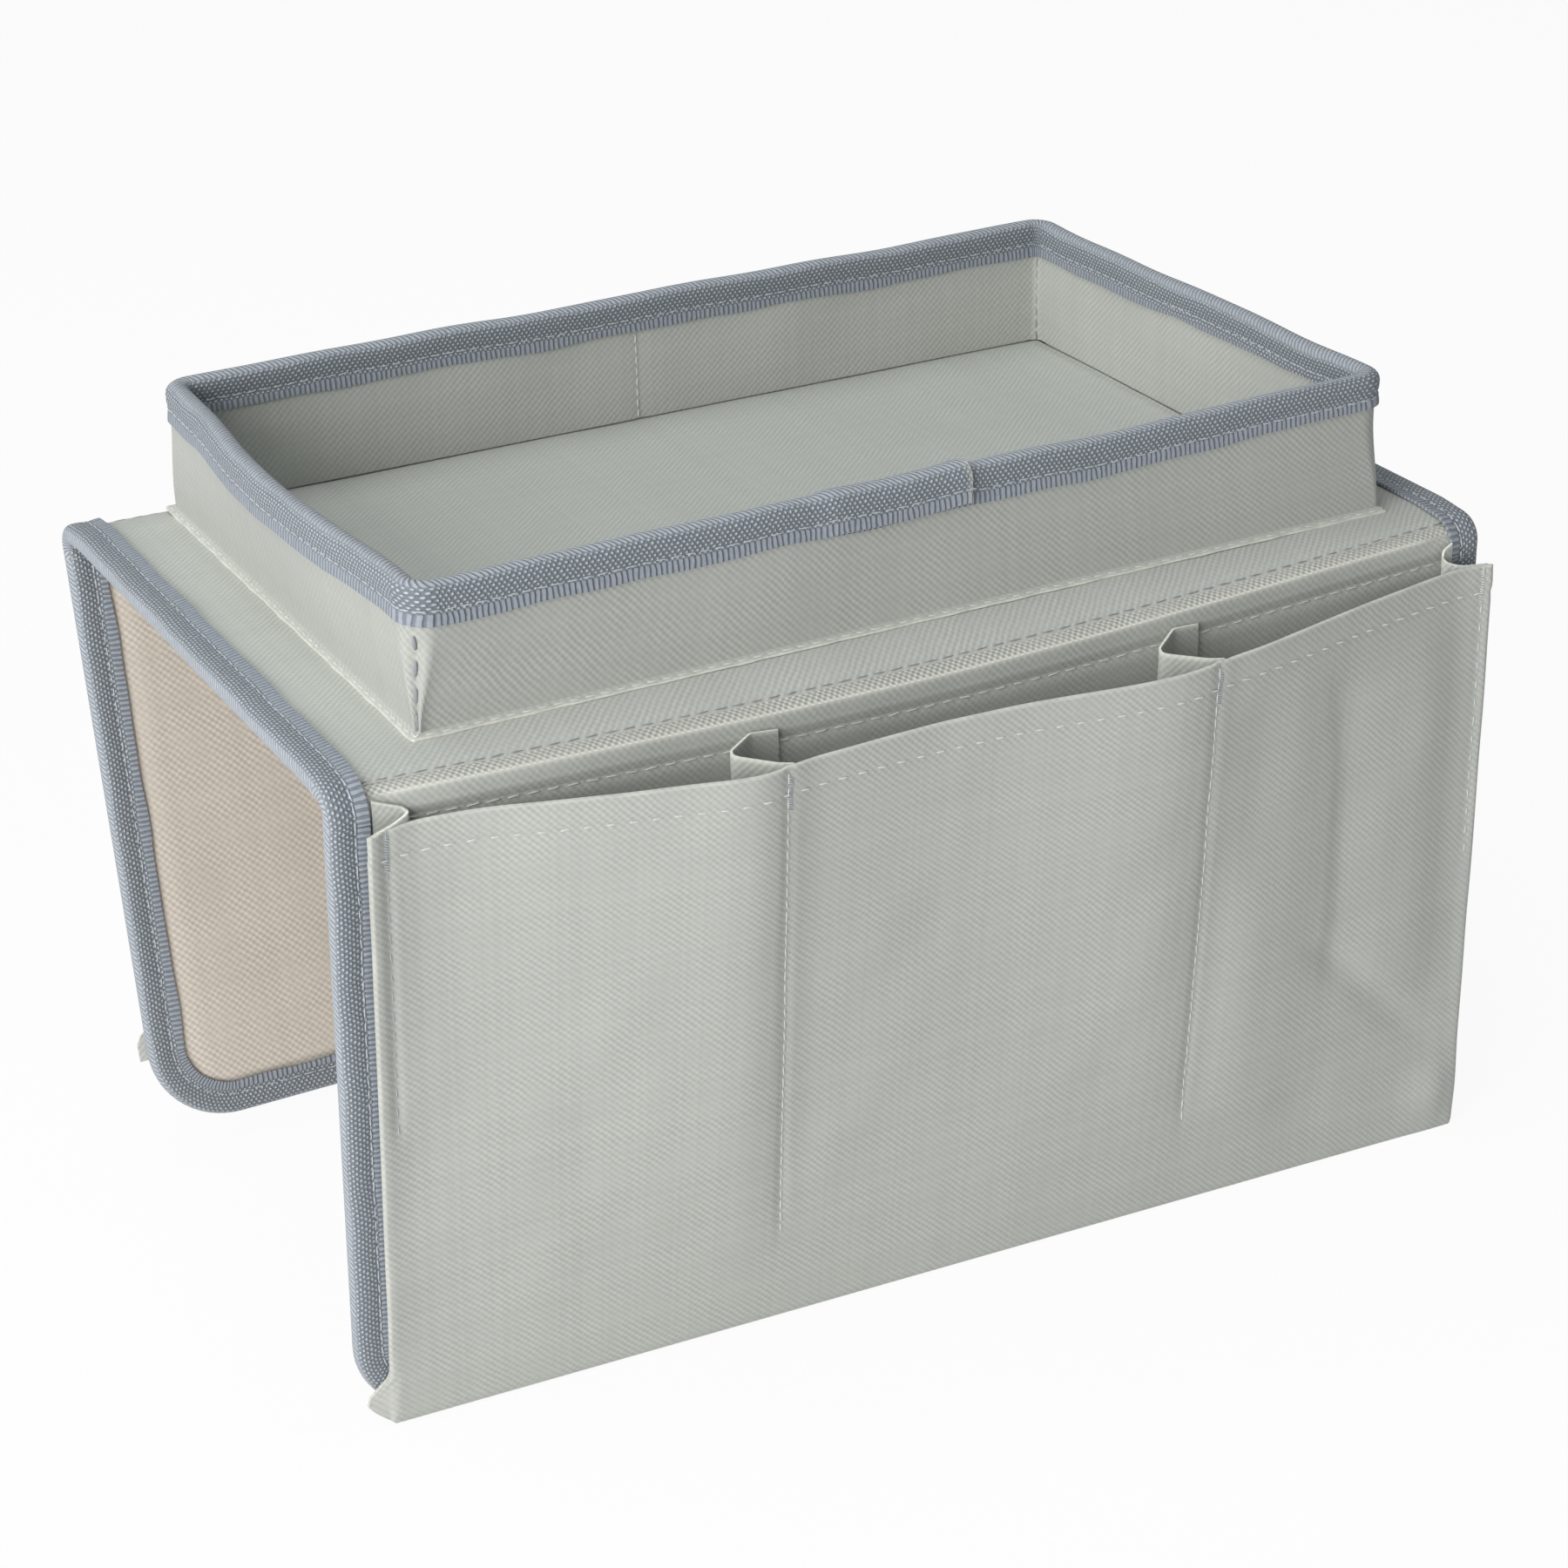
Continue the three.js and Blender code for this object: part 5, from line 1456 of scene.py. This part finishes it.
class ORGANIZER_OT_stage(bpy.types.Operator):
    """Make the floor, the lamps, the surroundings and the camera."""

    bl_idname = "organizer.stage"
    bl_label = "Stage"

    def execute(self, context):
        scene = context.scene
        scene.view_settings.view_transform = "Standard"
        self.floor(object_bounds()[0].z - 0.2 * MM)
        self.surroundings(scene)
        self.lamp("key_lamp", place=(-1.25, -0.72, 0.45), width=1.1, power=20.0, hue=(1.0, 0.985, 0.965))
        self.lamp("top_lamp", place=(-0.5, 0.15, 1.55), width=1.4, power=12.2, hue=(0.95, 1.0, 0.99))
        self.camera(scene)
        return {"FINISHED"}

    def floor(self, level, reach=9):
        """A pale floor whose own light shows only to the camera, so that it stays white and keeps the shadow."""
        corners = [(x * reach, y * reach, level) for x, y in ((-1, -1), (1, -1), (1, 1), (-1, 1))]
        mesh = bpy.data.meshes.new("floor")
        mesh.from_pydata(corners, [], [(0, 1, 2, 3)])
        material, sheet, shader = start_material("pale_floor")
        sheet.fill(shader, Base_Color=(0.9, 0.9, 0.9, 1.0), Roughness=0.9)
        glow = sheet.result("ShaderNodeEmission", Color=(1, 1, 1, 1), Strength=1.0)
        share = sheet.math("MULTIPLY", sheet.to_camera(), 0.93)
        mixed = sheet.result("ShaderNodeMixShader", _0=share, _1=shader.outputs[0], _2=glow)
        out = next(node for node in material.node_tree.nodes if node.type == "OUTPUT_MATERIAL")
        sheet.set(out.inputs[0], mixed)
        mesh.materials.append(material)
        link_object("floor", mesh)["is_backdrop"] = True

    def surroundings(self, scene):
        """Even pale light all round, white to the camera."""
        world = bpy.data.worlds.new("pale_room")
        world.use_nodes = True
        world.node_tree.nodes.clear()
        sheet = NodeSheet(world.node_tree)
        strength = sheet.math("MULTIPLY_ADD", sheet.to_camera(), 0.78, 0.22)
        back = sheet.result("ShaderNodeBackground", Color=(1, 1, 1, 1), Strength=strength)
        sheet.add("ShaderNodeOutputWorld", Surface=back)
        scene.world = world

    def lamp(self, name, place, width, power, hue):
        """A square soft lamp that looks at the organizer."""
        data = bpy.data.lights.new(name, "AREA")
        data.shape = "SQUARE"
        data.size = width
        data.energy = power
        data.color = hue
        lamp = link_object(name, data)
        lamp.location = place
        lamp.rotation_euler = (Vector((0, 0, -0.05)) - Vector(place)).to_track_quat("-Z", "Y").to_euler()

    def camera(self, scene):
        """The camera at the photograph's place, worked out from the top's and the tray's corners."""
        data = bpy.data.cameras.new("camera")
        data.sensor_width = 36.0
        data.lens = 79.682
        data.clip_start = 0.05
        data.clip_end = 50.0
        place = (-0.38006, -0.73253, 0.33257)
        azimuth, elevation, roll = (math.radians(a) for a in (-27.697, 26.051, -1.300))
        right = Vector((math.cos(azimuth), math.sin(azimuth), 0.0))
        level = math.cos(elevation)
        back = Vector((math.sin(azimuth) * level, -math.cos(azimuth) * level, math.sin(elevation)))
        up = back.cross(right)
        across, tall = right * math.cos(roll) + up * math.sin(roll), up * math.cos(roll) - right * math.sin(roll)
        turned = Matrix((across, tall, back)).transposed().to_4x4()
        camera = link_object("camera", data)
        camera.matrix_world = Matrix.Translation(place) @ turned
        scene.camera = camera


OPERATORS = (
    ORGANIZER_OT_finishes,
    ORGANIZER_OT_top,
    ORGANIZER_OT_folds,
    ORGANIZER_OT_flaps,
    ORGANIZER_OT_pockets,
    ORGANIZER_OT_tray,
    ORGANIZER_OT_rim,
    ORGANIZER_OT_stitches,
    ORGANIZER_OT_stage,
)


class ORGANIZER_PT_panel(bpy.types.Panel):
    """The organizer's sizes, colours and making steps."""

    bl_idname = "ORGANIZER_PT_panel"
    bl_label = "Armrest organizer"
    bl_space_type = "VIEW_3D"
    bl_region_type = "UI"
    bl_category = "Organizer"

    def draw(self, context):
        for group in (context.scene.organizer_sizes, context.scene.organizer_colours):
            for name in group.__annotations__:
                self.layout.prop(group, name)
        for operator in OPERATORS:
            self.layout.operator(operator.bl_idname)


CLASSES = (OrganizerSizes, OrganizerColours, *OPERATORS, ORGANIZER_PT_panel)


def register():
    """Registers the groups, the operators and the panel."""
    for item in CLASSES:
        bpy.utils.register_class(item)
    bpy.types.Scene.organizer_sizes = PointerProperty(type=OrganizerSizes)
    bpy.types.Scene.organizer_colours = PointerProperty(type=OrganizerColours)


def unregister():
    """Takes the panel, the operators and the groups out again."""
    del bpy.types.Scene.organizer_colours
    del bpy.types.Scene.organizer_sizes
    for item in reversed(CLASSES):
        bpy.utils.unregister_class(item)


def main():
    """Makes the whole organizer and its stage."""
    register()
    for operator in OPERATORS:
        group, name = operator.bl_idname.split(".")
        getattr(getattr(bpy.ops, group), name)()


if __name__ == "__main__":
    main()
